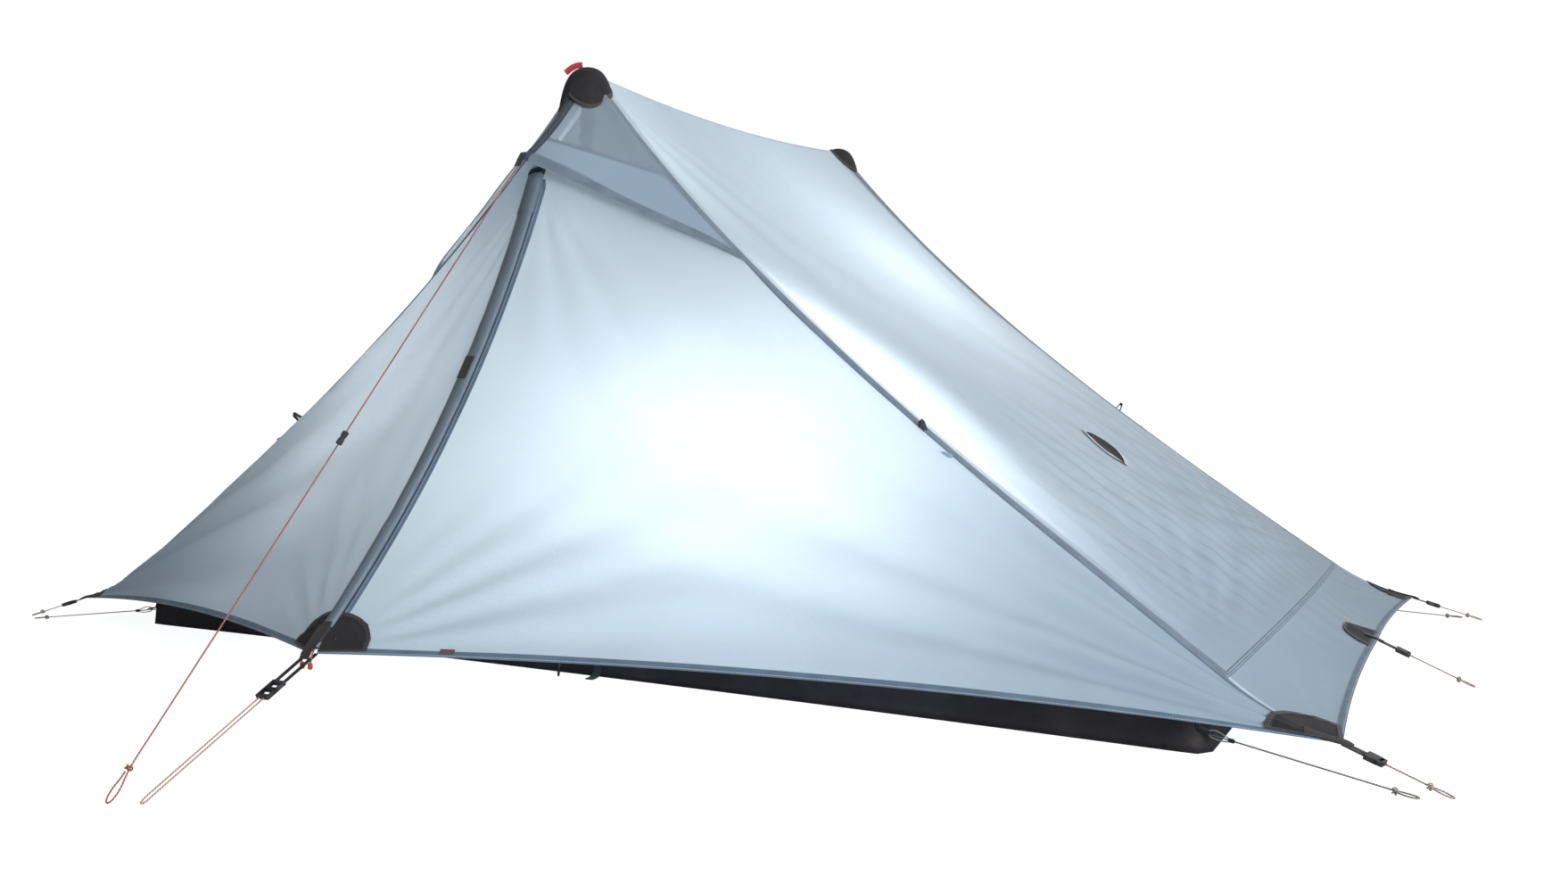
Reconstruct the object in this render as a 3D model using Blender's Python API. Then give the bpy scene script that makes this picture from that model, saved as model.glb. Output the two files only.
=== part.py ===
"""Two-pole trekking pole tent, pitched with its doors closed.

X runs along the sleeping length, Y across the two vestibules and Z up.
The origin is on the ground under the middle of the tent. All sizes are in metres.
Curves and places are worked out for the corner at +X and +Y; side signs mirror them.
"""
import math

import bmesh
import bpy
import numpy as np
from mathutils import Matrix, Vector

# Pitch of the canopy
PEAK_HEIGHT = 1.250
RIDGE_LENGTH = 1.180
RIDGE_SAG = 0.025
FLY_LENGTH = 3.000
FLY_END_WIDTH = 1.490
CORNER_LIFT = 0.055
END_HEM_HOLLOW = 0.015
END_MID_LIFT = 0.080
FOOT_SEAM_SETBACK = 0.177
FOOT_SEAM_WIDTH = 1.434
FOOT_SEAM_LIFT = 0.133
FOOT_SEAM_BOW = 0.027
FOOT_SEAM_RISE = 0.022
SEAM_SAG = 0.060
LOWER_SEAM_SAG = 0.013
ROOF_CROWN = 0.030
SEAM_SKEW_SHARE = 0.30

# Vestibules, storm doors and hoods
VESTIBULE_REACH = 1.360
VESTIBULE_LIFT = 0.166
HEM_RISE = 0.030
HOOD_REACH = 0.220
HOOD_DROP = 0.210
DOOR_TOP_REACH = 0.150
DOOR_TOP_DROP = 0.154
ZIP_TOP_REACH = 0.167
ZIP_TOP_DROP = 0.245
ZIP_SAG = 0.053
FOLD_SAG = 0.038
DOOR_CROWN = 0.012
HOOD_SEAM_SHARE = 0.30
DOOR_TOP_SEAM_SHARE = 0.18
FOLD_HEM_SHARE = 0.07
DOOR_TIP_SHARE = 0.03
HOOD_TOP_SHARE = 0.04

# Fabric and sewing
FABRIC = 0.0012
MESH_FABRIC = 0.0010
SEAM_INSET = 0.0009
UNDERLAP = 0.0022
FOLD_GAP = 0.0015
CLEARANCE = 0.0003

# Bathtub floor and mesh walls
FLOOR_LENGTH = 2.600
FLOOR_WIDTH = 1.420
TUB_HEIGHT = 0.150
TUB_LEAN = 0.018
TUB_CORNER_RADIUS = 0.045
TUB_SIDE_HOLLOW = 0.020
TUB_BEND_SHARE = 1 / 3
TUB_BEND_LEAN_SHARE = 0.25
MESH_TOP_INSET = 0.050
MESH_DROP = 0.0045
MESH_END_SHARE = 0.930
MESH_DOOR_REACH_SHARE = 0.900
MESH_DOOR_TOP_DROP = 0.230
MESH_DOOR_SIDE = 0.180
MESH_DOOR_RISE = 0.004
MESH_DOOR_GAP = 0.0018

# Zips and storm flaps
ZIP_TAPE = 0.0090
ZIP_TAPE_THICKNESS = 0.0008
ZIP_COIL_INNER = 0.0005
ZIP_COIL_OUTER = 0.0030
ZIP_COIL_THICKNESS = 0.0020
ZIP_STOP = 0.0040
ZIP_START = 0.0260
FLAP_START = 0.0300
SLIDER_LENGTH = 0.0120
SLIDER_PLATE = 0.0010
SLIDER_LIP = 0.0010
SLIDER_BLADE = 0.0004
PULL_LENGTH = 0.0240
PULL_WIDTH = 0.0050
PULL_THICKNESS = 0.0012
FLAP_WIDTH = 0.0350
FLAP_STANDOFF = 0.0085
FLAP_FABRIC = 0.0010

# Peak caps
CAP_RADIUS = 0.052
CAP_THICKNESS = 0.0014
CAP_RISE_SHARE = 1.15

# Straps, locks and lines
STRAP_WIDTH = 0.018
STRAP_THICKNESS = 0.0018
STRAP_LENGTH = 0.036
STRAP_START = 0.0006
LOCK_WIDTH = 0.024
LOCK_THICKNESS = 0.0085
LOCK_LENGTH = 0.028
LOCK_WINDOW = 0.005
LOCK_BEVEL = 0.0012
LOCK_TIP_SHARE = 0.80
LINE_RADIUS = 0.0013
LADDER_WIDTH = 0.026
LADDER_LENGTH = 0.040
LADDER_THICKNESS = 0.007
LADDER_ARM = 0.007
LADDER_BAR = 0.006
LADDER_REACH = 0.075
TENSIONER_RADIUS = 0.0055
TENSIONER_WAIST = 0.0042
TENSIONER_LENGTH = 0.024
TENSIONER_SHARE = 0.54

# Trekking poles
POLE_STANDOFF = 0.030
GRIP_RADIUS = 0.0160
GRIP_WAIST = 0.0130
GRIP_LENGTH = 0.150
GRIP_NECK = 0.0105
GRIP_DOME = 0.0140
GRIP_WAIST_SHARE = 0.06
GRIP_SHARES = ((0.25, 0.84), (0.45, 0.94), (0.62, 0.86), (0.80, 1.0), (0.93, 0.96))
GRIP_DOME_TURNS_DEG = (0, 30, 60)
LOWER_RADIUS = 0.0060
TUBE_WALL = 0.0008
TUBE_CLEARANCE = 0.0003
LOWER_EXPOSED = 0.420
MIDDLE_EXPOSED = 0.380
INSERTION = 0.160
TRAVEL = 0.220
COLLAR_RADIUS = 0.0115
COLLAR_LENGTH = 0.044
TIP_RADIUS = 0.0022
TIP_LENGTH = 0.014
TIP_FLARE_SHARE = 1.5
TIP_CONE_SHARE = 0.75
FERRULE_LENGTH = 0.050
BASKET_RADIUS = 0.022
BASKET_THICKNESS = 0.003
LEVER_THICKNESS = 0.0028
LEVER_HEIGHT = 0.024
LEVER_CLEARANCE = 0.0006
LEVER_WRAP_DEG = 150.0
LEVER_BARREL = 0.0034
LEVER_START_SHARE = 2 / 3
LEVER_STEPS = 10
BARREL_START_DEG = 150.0
BARREL_TURN_DEG = 240.0
BARREL_STEPS = 6
EAR_THICKNESS = 0.003

# Mesh resolution
ROOF_ROWS = 14
ROOF_COLUMNS = 8
DOOR_ROWS = 12
DOOR_COLUMNS = 8
HEADER_TOP_ROWS = 2
HEADER_ROWS = 12
HEADER_COLUMNS = 3
HOOD_ROWS = 5
HOOD_COLUMNS = 4
CAP_BACK_STEPS = 4
CAP_ROWS = 2
MESH_COLUMNS = 6
TUB_CORNER_STEPS = 4
TUB_SIDE_STEPS = 8
TUB_END_STEPS = 4
FOOT_ROWS = 3
ZIP_STEPS = 20
ROUND_SIDES = 12
WELD = 0.000001
ROUTE_STEPS = 2
RUN_END_SHARE = 0.04

# Places that follow from the sizes above
PEAK = np.array([0, RIDGE_LENGTH / 2, PEAK_HEIGHT])
CORNER = np.array([FLY_LENGTH / 2, FLY_END_WIDTH / 2, CORNER_LIFT])
KINK = np.array([FLY_LENGTH / 2 - FOOT_SEAM_SETBACK, FOOT_SEAM_WIDTH / 2, FOOT_SEAM_LIFT])
END_MID = np.array([FLY_LENGTH / 2 - END_HEM_HOLLOW, 0, END_MID_LIFT])
VESTIBULE = np.array([0, VESTIBULE_REACH, VESTIBULE_LIFT])
HOOD_TIP = PEAK + np.array([0, HOOD_REACH, -HOOD_DROP])
DOOR_TOP = PEAK + np.array([0, DOOR_TOP_REACH, -DOOR_TOP_DROP])
ZIP_TOP = PEAK + np.array([0, ZIP_TOP_REACH, -ZIP_TOP_DROP])
FLOOR_SIDE = FLOOR_WIDTH / 2 - TUB_SIDE_HOLLOW
POLE_FOOT = np.array([0, FLOOR_SIDE + POLE_STANDOFF, 0])

# Cord routes for the corner at +X and +Y: two points fix the taut run, the rest the stake loop
HOOD_LINE_RUN = [(0, 0.8098, 1.0388), (0, 1.6900, 0.0680)]
HOOD_LINE_LOOP = [
    (0.0035, 1.7040, 0.0525), (0.0075, 1.7150, 0.0404), (0.0065, 1.7260, 0.0283), (0, 1.7305, 0.0233),
    (-0.0065, 1.7260, 0.0283), (-0.0075, 1.7150, 0.0404), (-0.0050, 1.7060, 0.0503), (-0.0042, 1.6980, 0.0592),
]
VESTIBULE_LINE_OUT = [(0.0050, 1.4638, 0.1144), (0.0050, 1.6600, 0.0170)]
VESTIBULE_LINE_LOOP = [
    (0.0049, 1.6680, 0.0127), (0.0036, 1.6745, 0.0092), (0, 1.6775, 0.0076),
    (-0.0036, 1.6745, 0.0092), (-0.0049, 1.6680, 0.0127),
]
CORNER_LINE_RUN = [(1.5592, 0.7613, 0.0358), (1.6200, 0.7781, 0.0161)]
CORNER_LINE_LOOP = [
    (1.6290, 0.7765, 0.0132), (1.6400, 0.7775, 0.0097), (1.6500, 0.7820, 0.0064), (1.6530, 0.7875, 0.0054),
    (1.6480, 0.7915, 0.0070), (1.6370, 0.7910, 0.0106), (1.6290, 0.7870, 0.0132), (1.6220, 0.7835, 0.0155),
]
END_LINE_RUN = [(1.5438, 0, 0.0540), (1.6300, 0, 0.0159)]
END_LINE_LOOP = [
    (1.6380, 0.0030, 0.0124), (1.6480, 0.0070, 0.0080), (1.6560, 0.0050, 0.0045), (1.6585, 0, 0.0034),
    (1.6560, -0.0050, 0.0045), (1.6480, -0.0070, 0.0080), (1.6380, -0.0050, 0.0124), (1.6310, -0.0044, 0.0155),
]
FLOOR_LINE_RUN = [(1.2798, 0.6980, 0.0360), (1.5750, 0.7955, 0.0080)]
FLOOR_LINE_LOOP = [
    (1.5860, 0.7960, 0.0070), (1.5970, 0.7985, 0.0060), (1.6060, 0.8035, 0.0052), (1.6085, 0.8095, 0.0050),
    (1.6030, 0.8130, 0.0055), (1.5920, 0.8110, 0.0065), (1.5840, 0.8070, 0.0072), (1.5770, 0.8030, 0.0078),
]

for old in list(bpy.data.objects):
    bpy.data.objects.remove(old, do_unlink=True)

MATERIALS = {}


def material(name, colour, roughness, metallic=0.0):
    """Return the Principled material of this name, made once."""
    if name not in MATERIALS:
        made = bpy.data.materials.new(name)
        made.use_nodes = True
        shader = made.node_tree.nodes["Principled BSDF"]
        shader.inputs["Base Color"].default_value = (*colour, 1.0)
        shader.inputs["Roughness"].default_value = roughness
        shader.inputs["Metallic"].default_value = metallic
        MATERIALS[name] = made
    return MATERIALS[name]


def canopy_fabric():
    return material("canopy_fabric", (0.62, 0.72, 0.80), 0.55)


def floor_fabric():
    return material("floor_fabric", (0.045, 0.038, 0.045), 0.60)


def mesh_fabric():
    return material("mesh_fabric", (0.08, 0.08, 0.09), 0.70)


def patch_fabric():
    return material("patch_fabric", (0.050, 0.045, 0.045), 0.75)


def webbing():
    return material("webbing", (0.02, 0.02, 0.022), 0.65)


def black_plastic():
    return material("black_plastic", (0.015, 0.015, 0.017), 0.40)


def zip_plastic():
    return material("zip_plastic", (0.08, 0.10, 0.13), 0.50)


def red_line():
    return material("red_line", (0.45, 0.09, 0.06), 0.60)


def grey_line():
    return material("grey_line", (0.30, 0.30, 0.28), 0.60)


def pole_alloy():
    return material("pole_alloy", (0.10, 0.11, 0.13), 0.35, 0.9)


def grip_foam():
    return material("grip_foam", (0.03, 0.03, 0.033), 0.85)


def mirrored(points, side_x, side_y):
    """Points of the +X +Y corner carried to the corner with these signs."""
    return np.asarray(points, float) * np.array([side_x, side_y, 1])


def unit(vector):
    vector = np.asarray(vector, float)
    return vector / np.linalg.norm(vector)


def new_object(name, data, paint, origin=(0, 0, 0)):
    """Link an object whose data is in world metres, with its origin moved to a joint."""
    data.transform(Matrix.Translation(-Vector(origin)))
    made = bpy.data.objects.new(name, data)
    made.location = origin
    made.data.materials.append(paint)
    bpy.context.scene.collection.objects.link(made)
    return made


def smooth(made, angle_deg=40.0):
    made.data.shade_smooth()
    made.data.set_sharp_from_angle(angle=math.radians(angle_deg))


def grid_mesh(name, grids):
    """One welded open sheet from grids of points, each an array of rows by columns."""
    shell = bmesh.new()
    for grid in grids:
        grid = np.asarray(grid, float)
        corners = [[shell.verts.new(point) for point in row] for row in grid]
        for lower, upper in zip(corners[:-1], corners[1:]):
            for k in range(len(lower) - 1):
                shell.faces.new([lower[k], lower[k + 1], upper[k + 1], upper[k]])
    bmesh.ops.remove_doubles(shell, verts=shell.verts, dist=WELD)
    bmesh.ops.recalc_face_normals(shell, faces=shell.faces)
    data = bpy.data.meshes.new(name)
    shell.to_mesh(data)
    shell.free()
    return data


def fabric_sheet(name, grids, thickness, paint, origin=(0, 0, 0)):
    """A sewn panel: its middle surface, thickened evenly to both sides."""
    made = new_object(name, grid_mesh(name, grids), paint, origin)
    thick = made.modifiers.new("cloth_thickness", "SOLIDIFY")
    thick.thickness = thickness
    thick.offset = 0
    thick.use_even_offset = True
    smooth(made)
    return made


def loft_mesh(name, rings):
    """A closed solid through rings of points, with a flat cap at each end."""
    solid = bmesh.new()
    loops = [[solid.verts.new(point) for point in ring] for ring in rings]
    count = len(loops[0])
    for lower, upper in zip(loops[:-1], loops[1:]):
        for k in range(count):
            following = (k + 1) % count
            solid.faces.new([lower[k], lower[following], upper[following], upper[k]])
    solid.faces.new(loops[0][::-1])
    solid.faces.new(loops[-1])
    bmesh.ops.recalc_face_normals(solid, faces=solid.faces)
    data = bpy.data.meshes.new(name)
    solid.to_mesh(data)
    solid.free()
    return data


def lathe_mesh(name, profile, closed=False, sides=ROUND_SIDES):
    """A solid turned about local Z from (radius, height) pairs.

    An open profile starts and ends on the axis; a closed one goes round a bore.
    """
    solid = bmesh.new()
    rings = []
    for radius, height in profile:
        if radius == 0:
            rings.append([solid.verts.new((0, 0, height))])
        else:
            turns = [2 * math.pi * k / sides for k in range(sides)]
            rings.append([solid.verts.new((radius * math.cos(a), radius * math.sin(a), height)) for a in turns])
    if closed:
        rings.append(rings[0])
    for lower, upper in zip(rings[:-1], rings[1:]):
        for k in range(sides):
            following = (k + 1) % sides
            if len(lower) == 1:
                solid.faces.new([lower[0], upper[following], upper[k]])
            elif len(upper) == 1:
                solid.faces.new([lower[k], lower[following], upper[0]])
            else:
                solid.faces.new([lower[k], lower[following], upper[following], upper[k]])
    bmesh.ops.recalc_face_normals(solid, faces=solid.faces)
    data = bpy.data.meshes.new(name)
    solid.to_mesh(data)
    solid.free()
    return data


def box_mesh(name, low, high):
    """A box between two local corners."""
    ring = [(low[0], low[1]), (high[0], low[1]), (high[0], high[1]), (low[0], high[1])]
    return loft_mesh(name, [[(x, y, z) for x, y in ring] for z in (low[2], high[2])])


def helper(name, data, matrix):
    """A hidden shape that a Boolean adds or cuts."""
    made = bpy.data.objects.new(name, data)
    made.matrix_world = matrix
    made.hide_render = True
    made.display_type = "WIRE"
    bpy.context.scene.collection.objects.link(made)
    return made


def combine(made, other, operation):
    step = made.modifiers.new(operation.lower(), "BOOLEAN")
    step.operation = operation
    step.object = other
    step.solver = "EXACT"


def axes_matrix(origin, along, up):
    """Local Z runs along, local Y leans towards up, and the origin is given."""
    z_axis = unit(along)
    x_axis = unit(np.cross(up, z_axis))
    y_axis = np.cross(z_axis, x_axis)
    turned = Matrix((x_axis, y_axis, z_axis)).transposed().to_4x4()
    turned.translation = Vector(origin)
    return turned


def bow_weight(t, skew=0.0):
    """A parabola that is 1 near the middle of an edge and 0 at its ends."""
    return 4 * t * (1 - t) * (1 - skew * (2 * t - 1))


def upper_seam(t):
    """Seam from the peak to the foot seam, sagging square to its chord."""
    run = KINK - PEAK
    down = unit(np.array([run[2], 0, -run[0]]))
    return PEAK + run * t + down * SEAM_SAG * bow_weight(t, SEAM_SKEW_SHARE)


def lower_seam(t):
    """Seam from the foot seam to the corner of the canopy."""
    return KINK + (CORNER - KINK) * t - np.array([0, 0, LOWER_SEAM_SAG]) * bow_weight(t)


def ridge(v):
    """Ridge from the peak at -Y to the peak at +Y."""
    return np.array([0, PEAK[1] * (2 * v - 1), PEAK_HEIGHT - RIDGE_SAG * bow_weight(v)])


def foot_seam(v):
    """Seam across the end of the canopy, from -Y to +Y."""
    bow = np.array([FOOT_SEAM_BOW, 0, FOOT_SEAM_RISE]) * bow_weight(v)
    return np.array([KINK[0], KINK[1] * (2 * v - 1), KINK[2]]) + bow


def end_hem(v):
    """Hem across the end of the canopy, through its middle guy point."""
    side = 2 * v - 1
    share = abs(side)
    x = END_MID[0] + (CORNER[0] - END_MID[0]) * share
    z = END_MID[2] + (CORNER[2] - END_MID[2]) * share
    return np.array([x, CORNER[1] * side, z])


def patch(first, last, start, end, u, v, crown):
    """Coons patch: first and last run with u at v 0 and 1, start and end run with v."""
    ruled_v = (1 - v) * first(u) + v * last(u)
    ruled_u = (1 - u) * start(v) + u * end(v)
    corners = (1 - u) * (1 - v) * first(0) + u * (1 - v) * first(1)
    corners = corners + (1 - u) * v * last(0) + u * v * last(1)
    lift = np.array([0, 0, crown]) * bow_weight(u) * bow_weight(v)
    return ruled_v + ruled_u - corners + lift


def near_upper_seam(t):
    return mirrored(upper_seam(t), 1, -1)


def near_lower_seam(t):
    return mirrored(lower_seam(t), 1, -1)


def roof_point(u, v):
    """Roof at +X: u from the ridge to the foot seam, v from the seam at -Y to the one at +Y."""
    return patch(near_upper_seam, upper_seam, ridge, foot_seam, u, v, ROOF_CROWN)


def foot_point(u, v):
    """Foot panel at +X: u from the foot seam to the hem."""
    return patch(near_lower_seam, lower_seam, foot_seam, end_hem, u, v, 0)


def shares(count, margin_low=0.0, margin_high=0.0):
    """Even shares from 0 to 1, with the ends drawn in by these margins."""
    return np.linspace(margin_low, 1 - margin_high, count + 1)


def make_roofs():
    slope = np.linalg.norm(KINK - PEAK)
    u_margin = SEAM_INSET / slope
    v_margin = SEAM_INSET / RIDGE_LENGTH
    foot_margin = SEAM_INSET / FOOT_SEAM_SETBACK
    for side, word in ((1, "right"), (-1, "left")):
        us = shares(ROOF_ROWS, u_margin, u_margin)
        vs = shares(ROOF_COLUMNS, v_margin, v_margin)
        roof = [[roof_point(u, v) for v in vs] for u in us]
        fabric_sheet("roof_" + word, [mirrored(roof, side, 1)], FABRIC, canopy_fabric())
        us = shares(FOOT_ROWS, foot_margin, foot_margin)
        foot = [[foot_point(u, v) for v in vs] for u in us]
        fabric_sheet("foot_panel_" + word, [mirrored(foot, side, 1)], FABRIC, canopy_fabric())


def storm_hem(t):
    """Hem of the storm doors, from the canopy corner to the vestibule point."""
    rise = unit(np.array([0, -(VESTIBULE[1] - CORNER[1]), VESTIBULE[1] - CORNER[1]]))
    return CORNER + (VESTIBULE - CORNER) * t + rise * HEM_RISE * bow_weight(t)


def zip_circle():
    """Centre and radius of the zip's curve, which lies in the plane through both peaks."""
    chord = VESTIBULE - ZIP_TOP
    length = np.linalg.norm(chord)
    radius = length ** 2 / (8 * ZIP_SAG) + ZIP_SAG / 2
    outward = unit(np.array([0, -chord[2], chord[1]]))
    return (ZIP_TOP + VESTIBULE) / 2 + outward * (radius - ZIP_SAG), radius


def zip_curve(t):
    """Zip from its top to the vestibule point, with its outward normal and its tangent."""
    centre, radius = zip_circle()
    start = ZIP_TOP - centre
    end = VESTIBULE - centre
    first = math.atan2(start[2], start[1])
    last = math.atan2(end[2], end[1])
    turn = (last - first + math.pi) % (2 * math.pi) - math.pi
    angle = first + turn * t
    arm = np.array([0, math.cos(angle), math.sin(angle)])
    tangent = np.array([0, -math.sin(angle), math.cos(angle)]) * math.copysign(1, turn)
    return centre + arm * radius, -arm, tangent


def fold_frame():
    """Ends of the line that a storm door folds about, its outward normal and its door side."""
    end = storm_hem(FOLD_HEM_SHARE)
    run = unit(end - ZIP_TOP)
    door_side = VESTIBULE - ZIP_TOP
    door_side = unit(door_side - run * np.dot(door_side, run))
    outward = unit(np.cross(door_side, run))
    if outward[2] < 0:
        outward = -outward
    return ZIP_TOP, end, outward, door_side


def fold_line(t):
    """Edge between header and storm door, sagging inwards from the straight fold axis."""
    start, end, outward, _ = fold_frame()
    return start + (end - start) * t - outward * FOLD_SAG * bow_weight(t)


def storm_door_grid():
    """Storm door at +X +Y: rows from its top tip to the hem, columns from the fold to the zip."""
    _, end, outward, door_side = fold_frame()
    edge = ZIP_TAPE + 2 * CLEARANCE
    hem_edge = (VESTIBULE - np.array([0, SEAM_INSET, 0])) + np.array([edge, 0, 0])
    rows = []
    for v in shares(DOOR_ROWS, DOOR_TIP_SHARE, 0):
        fold = fold_line(v) + door_side * FOLD_GAP / 2
        zip_edge = zip_curve(v)[0] + np.array([edge, 0, 0])
        row = []
        for u in shares(DOOR_COLUMNS):
            hem = storm_hem(FOLD_HEM_SHARE + (1 - FOLD_HEM_SHARE) * u)
            drop = hem - (end + (VESTIBULE - end) * u)
            bulge = outward * DOOR_CROWN * bow_weight(u) * bow_weight(v)
            row.append((1 - u) * fold + u * zip_edge + v * drop + bulge)
        rows.append(row)
    rows[-1][-1] = hem_edge
    return np.array(rows)


def header_grid(side_x):
    """Fixed top and seam strip of the doors on one side of the zip."""
    _, _, _, door_side = fold_frame()
    upper_rows = HEADER_TOP_ROWS + HEADER_ROWS - FOOT_ROWS
    seams = [upper_seam(share) for share in np.linspace(DOOR_TOP_SEAM_SHARE, 1, upper_rows + 1)]
    seams += [lower_seam(share) for share in shares(FOOT_ROWS)[1:]]
    start = seams[HEADER_TOP_ROWS][0]
    reach = seams[-1][0] - start
    rows = []
    for k, seam in enumerate(seams):
        if k <= HEADER_TOP_ROWS:
            inner = DOOR_TOP + (ZIP_TOP - DOOR_TOP) * k / HEADER_TOP_ROWS
        else:
            inner = fold_line((seam[0] - start) / reach) - door_side * FOLD_GAP / 2
        edge = seam + np.array([0, -UNDERLAP / 2, -UNDERLAP])
        rows.append([edge + (inner - edge) * share for share in shares(HEADER_COLUMNS)])
    return mirrored(rows, side_x, 1)


def make_doors():
    grid = storm_door_grid()
    start, end, _, _ = fold_frame()
    for side_y, depth in ((-1, "near"), (1, "far")):
        halves = [mirrored(header_grid(side_x), 1, side_y) for side_x in (1, -1)]
        fabric_sheet("door_header_" + depth, halves, FABRIC, canopy_fabric())
        for side_x, word in ((1, "right"), (-1, "left")):
            name = "storm_door_" + depth + "_" + word
            hinge = mirrored((start + end) / 2, side_x, side_y)
            fabric_sheet(name, [mirrored(grid, side_x, side_y)], FABRIC, canopy_fabric(), hinge)


def make_hoods():
    """Doubled peaks that shed rain over the top of the doors."""
    rows = []
    for v in shares(HOOD_ROWS, HOOD_TOP_SHARE, 0):
        crease = PEAK + (HOOD_TIP - PEAK) * v
        seam = upper_seam(HOOD_SEAM_SHARE * v)
        reach = np.linalg.norm(seam - crease)
        inset = SEAM_INSET / reach
        rows.append([crease + (seam - crease) * share for share in shares(HOOD_COLUMNS, 0, inset)])
    for side_y, depth in ((-1, "near"), (1, "far")):
        halves = [mirrored(rows, side_x, side_y) for side_x in (1, -1)]
        fabric_sheet("hood_" + depth, halves, FABRIC, canopy_fabric())


def make_caps():
    """Round reinforcement sewn over each peak, creased where the panels below it meet."""
    lift = (FABRIC + CAP_THICKNESS) / 2 + CLEARANCE
    crease = HOOD_TIP - PEAK
    seam = upper_seam(1 / ROOF_ROWS) - PEAK
    back = ridge(1 - 1 / ROOF_COLUMNS) - PEAK
    crown = (roof_point(1 / ROOF_ROWS, 1 - 1 / ROOF_COLUMNS) - PEAK - seam - back)[2]
    steepest = max(abs(crease[2] / crease[1]), abs(seam[2] / seam[0]))
    rise = lift * math.hypot(1, steepest) * CAP_RISE_SHARE
    seam_turn = math.atan2(seam[0], seam[1])
    turns = [0, seam_turn / 2, seam_turn]
    turns += [seam_turn + (math.pi - seam_turn) * share for share in shares(CAP_BACK_STEPS)[1:]]
    points = []
    for turn in turns:
        x = CAP_RADIUS * math.sin(turn)
        y = CAP_RADIUS * math.cos(turn)
        edge = crease if turn <= seam_turn else back
        across = x / seam[0]
        along = (y - across * seam[1]) / edge[1]
        swell = crown * min(across, along) if edge is back else 0
        points.append((x, PEAK[1] + y, PEAK[2] + across * seam[2] + along * edge[2] + swell))
    points += [(-x, y, z) for x, y, z in points[-2::-1]]
    rim = np.array(points)
    for side_y, depth in ((-1, "near"), (1, "far")):
        rows = [PEAK + (rim - PEAK) * share + np.array([0, 0, rise]) for share in shares(CAP_ROWS)]
        fabric_sheet("peak_cap_" + depth, [mirrored(rows, 1, side_y)], CAP_THICKNESS, patch_fabric())


def zip_frame(t, side_y, x, height):
    """A point beside the zip: x across it and height out from the tent."""
    point, outward, _ = zip_curve(t)
    return mirrored(point + outward * height, 1, side_y) + np.array([x, 0, 0])


def zip_steps():
    """Shares along the zip between its two stops."""
    length = np.linalg.norm(VESTIBULE - ZIP_TOP)
    first = (ZIP_START + ZIP_STOP) / length
    last = 1 - (ZIP_STOP + ZIP_TAPE) / length
    return first, last


def chain_mesh(name, stations):
    """Two like tapes side by side, joined across their first and last stretches."""
    solid = bmesh.new()
    rings = []
    for station in stations:
        right = [solid.verts.new(point) for point in station]
        left = [solid.verts.new((-point[0], point[1], point[2])) for point in station]
        rings.append((right, left))
    last_step = len(rings) - 2
    for step in range(len(rings) - 1):
        (right, left), (next_right, next_left) = rings[step], rings[step + 1]
        for lower, upper in ((right, next_right), (left, next_left)):
            for k in range(len(lower) - 1):
                solid.faces.new([lower[k], lower[k + 1], upper[k + 1], upper[k]])
            if step not in (0, last_step):
                solid.faces.new([lower[-1], lower[0], upper[0], upper[-1]])
        if step in (0, last_step):
            for k in (0, -1):
                solid.faces.new([right[k], left[k], next_left[k], next_right[k]])
    for step in (0, 1, last_step, last_step + 1):
        right, left = rings[step]
        solid.faces.new([right[0], right[-1], left[-1], left[0]])
    for step in (0, last_step + 1):
        for ring in rings[step]:
            solid.faces.new(ring)
    bmesh.ops.recalc_face_normals(solid, faces=solid.faces)
    data = bpy.data.meshes.new(name)
    solid.to_mesh(data)
    solid.free()
    return data


def make_zips():
    """Zip chains: two tapes with their coils, joined by a stop at each end."""
    first, last = zip_steps()
    stop = ZIP_STOP / np.linalg.norm(VESTIBULE - ZIP_TOP)
    coil = ZIP_COIL_THICKNESS / 2
    tape = ZIP_TAPE_THICKNESS / 2
    section = [
        (ZIP_COIL_INNER, -coil), (ZIP_COIL_OUTER, -coil), (ZIP_COIL_OUTER, -tape), (ZIP_TAPE, -tape),
        (ZIP_TAPE, tape), (ZIP_COIL_OUTER, tape), (ZIP_COIL_OUTER, coil), (ZIP_COIL_INNER, coil),
    ]
    hinge_start, hinge_end, _, _ = fold_frame()
    for side_y, depth in ((-1, "near"), (1, "far")):
        stations = []
        for t in [first - stop, *np.linspace(first, last, ZIP_STEPS), last + stop]:
            stations.append([zip_frame(t, side_y, x, height) for x, height in section])
        hinge = mirrored((hinge_start + hinge_end) / 2, side_y, side_y)
        name = "zipper_chain_" + depth
        new_object(name, chain_mesh(name, stations), zip_plastic(), hinge)


def slider_section():
    """Cross-section of a slider: two lipped plates joined by a thin blade between the coils."""
    inner = ZIP_COIL_THICKNESS / 2 + CLEARANCE
    outer = inner + SLIDER_PLATE
    lip_in = ZIP_COIL_OUTER + CLEARANCE
    lip_out = lip_in + SLIDER_LIP
    lip_end = ZIP_TAPE_THICKNESS / 2 + CLEARANCE
    blade = SLIDER_BLADE / 2
    half = [
        (lip_out, outer), (lip_out, lip_end), (lip_in, lip_end), (lip_in, inner), (blade, inner),
        (blade, -inner), (lip_in, -inner), (lip_in, -lip_end), (lip_out, -lip_end), (lip_out, -outer),
    ]
    return half + [(-x, height) for x, height in half[::-1]]


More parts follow.
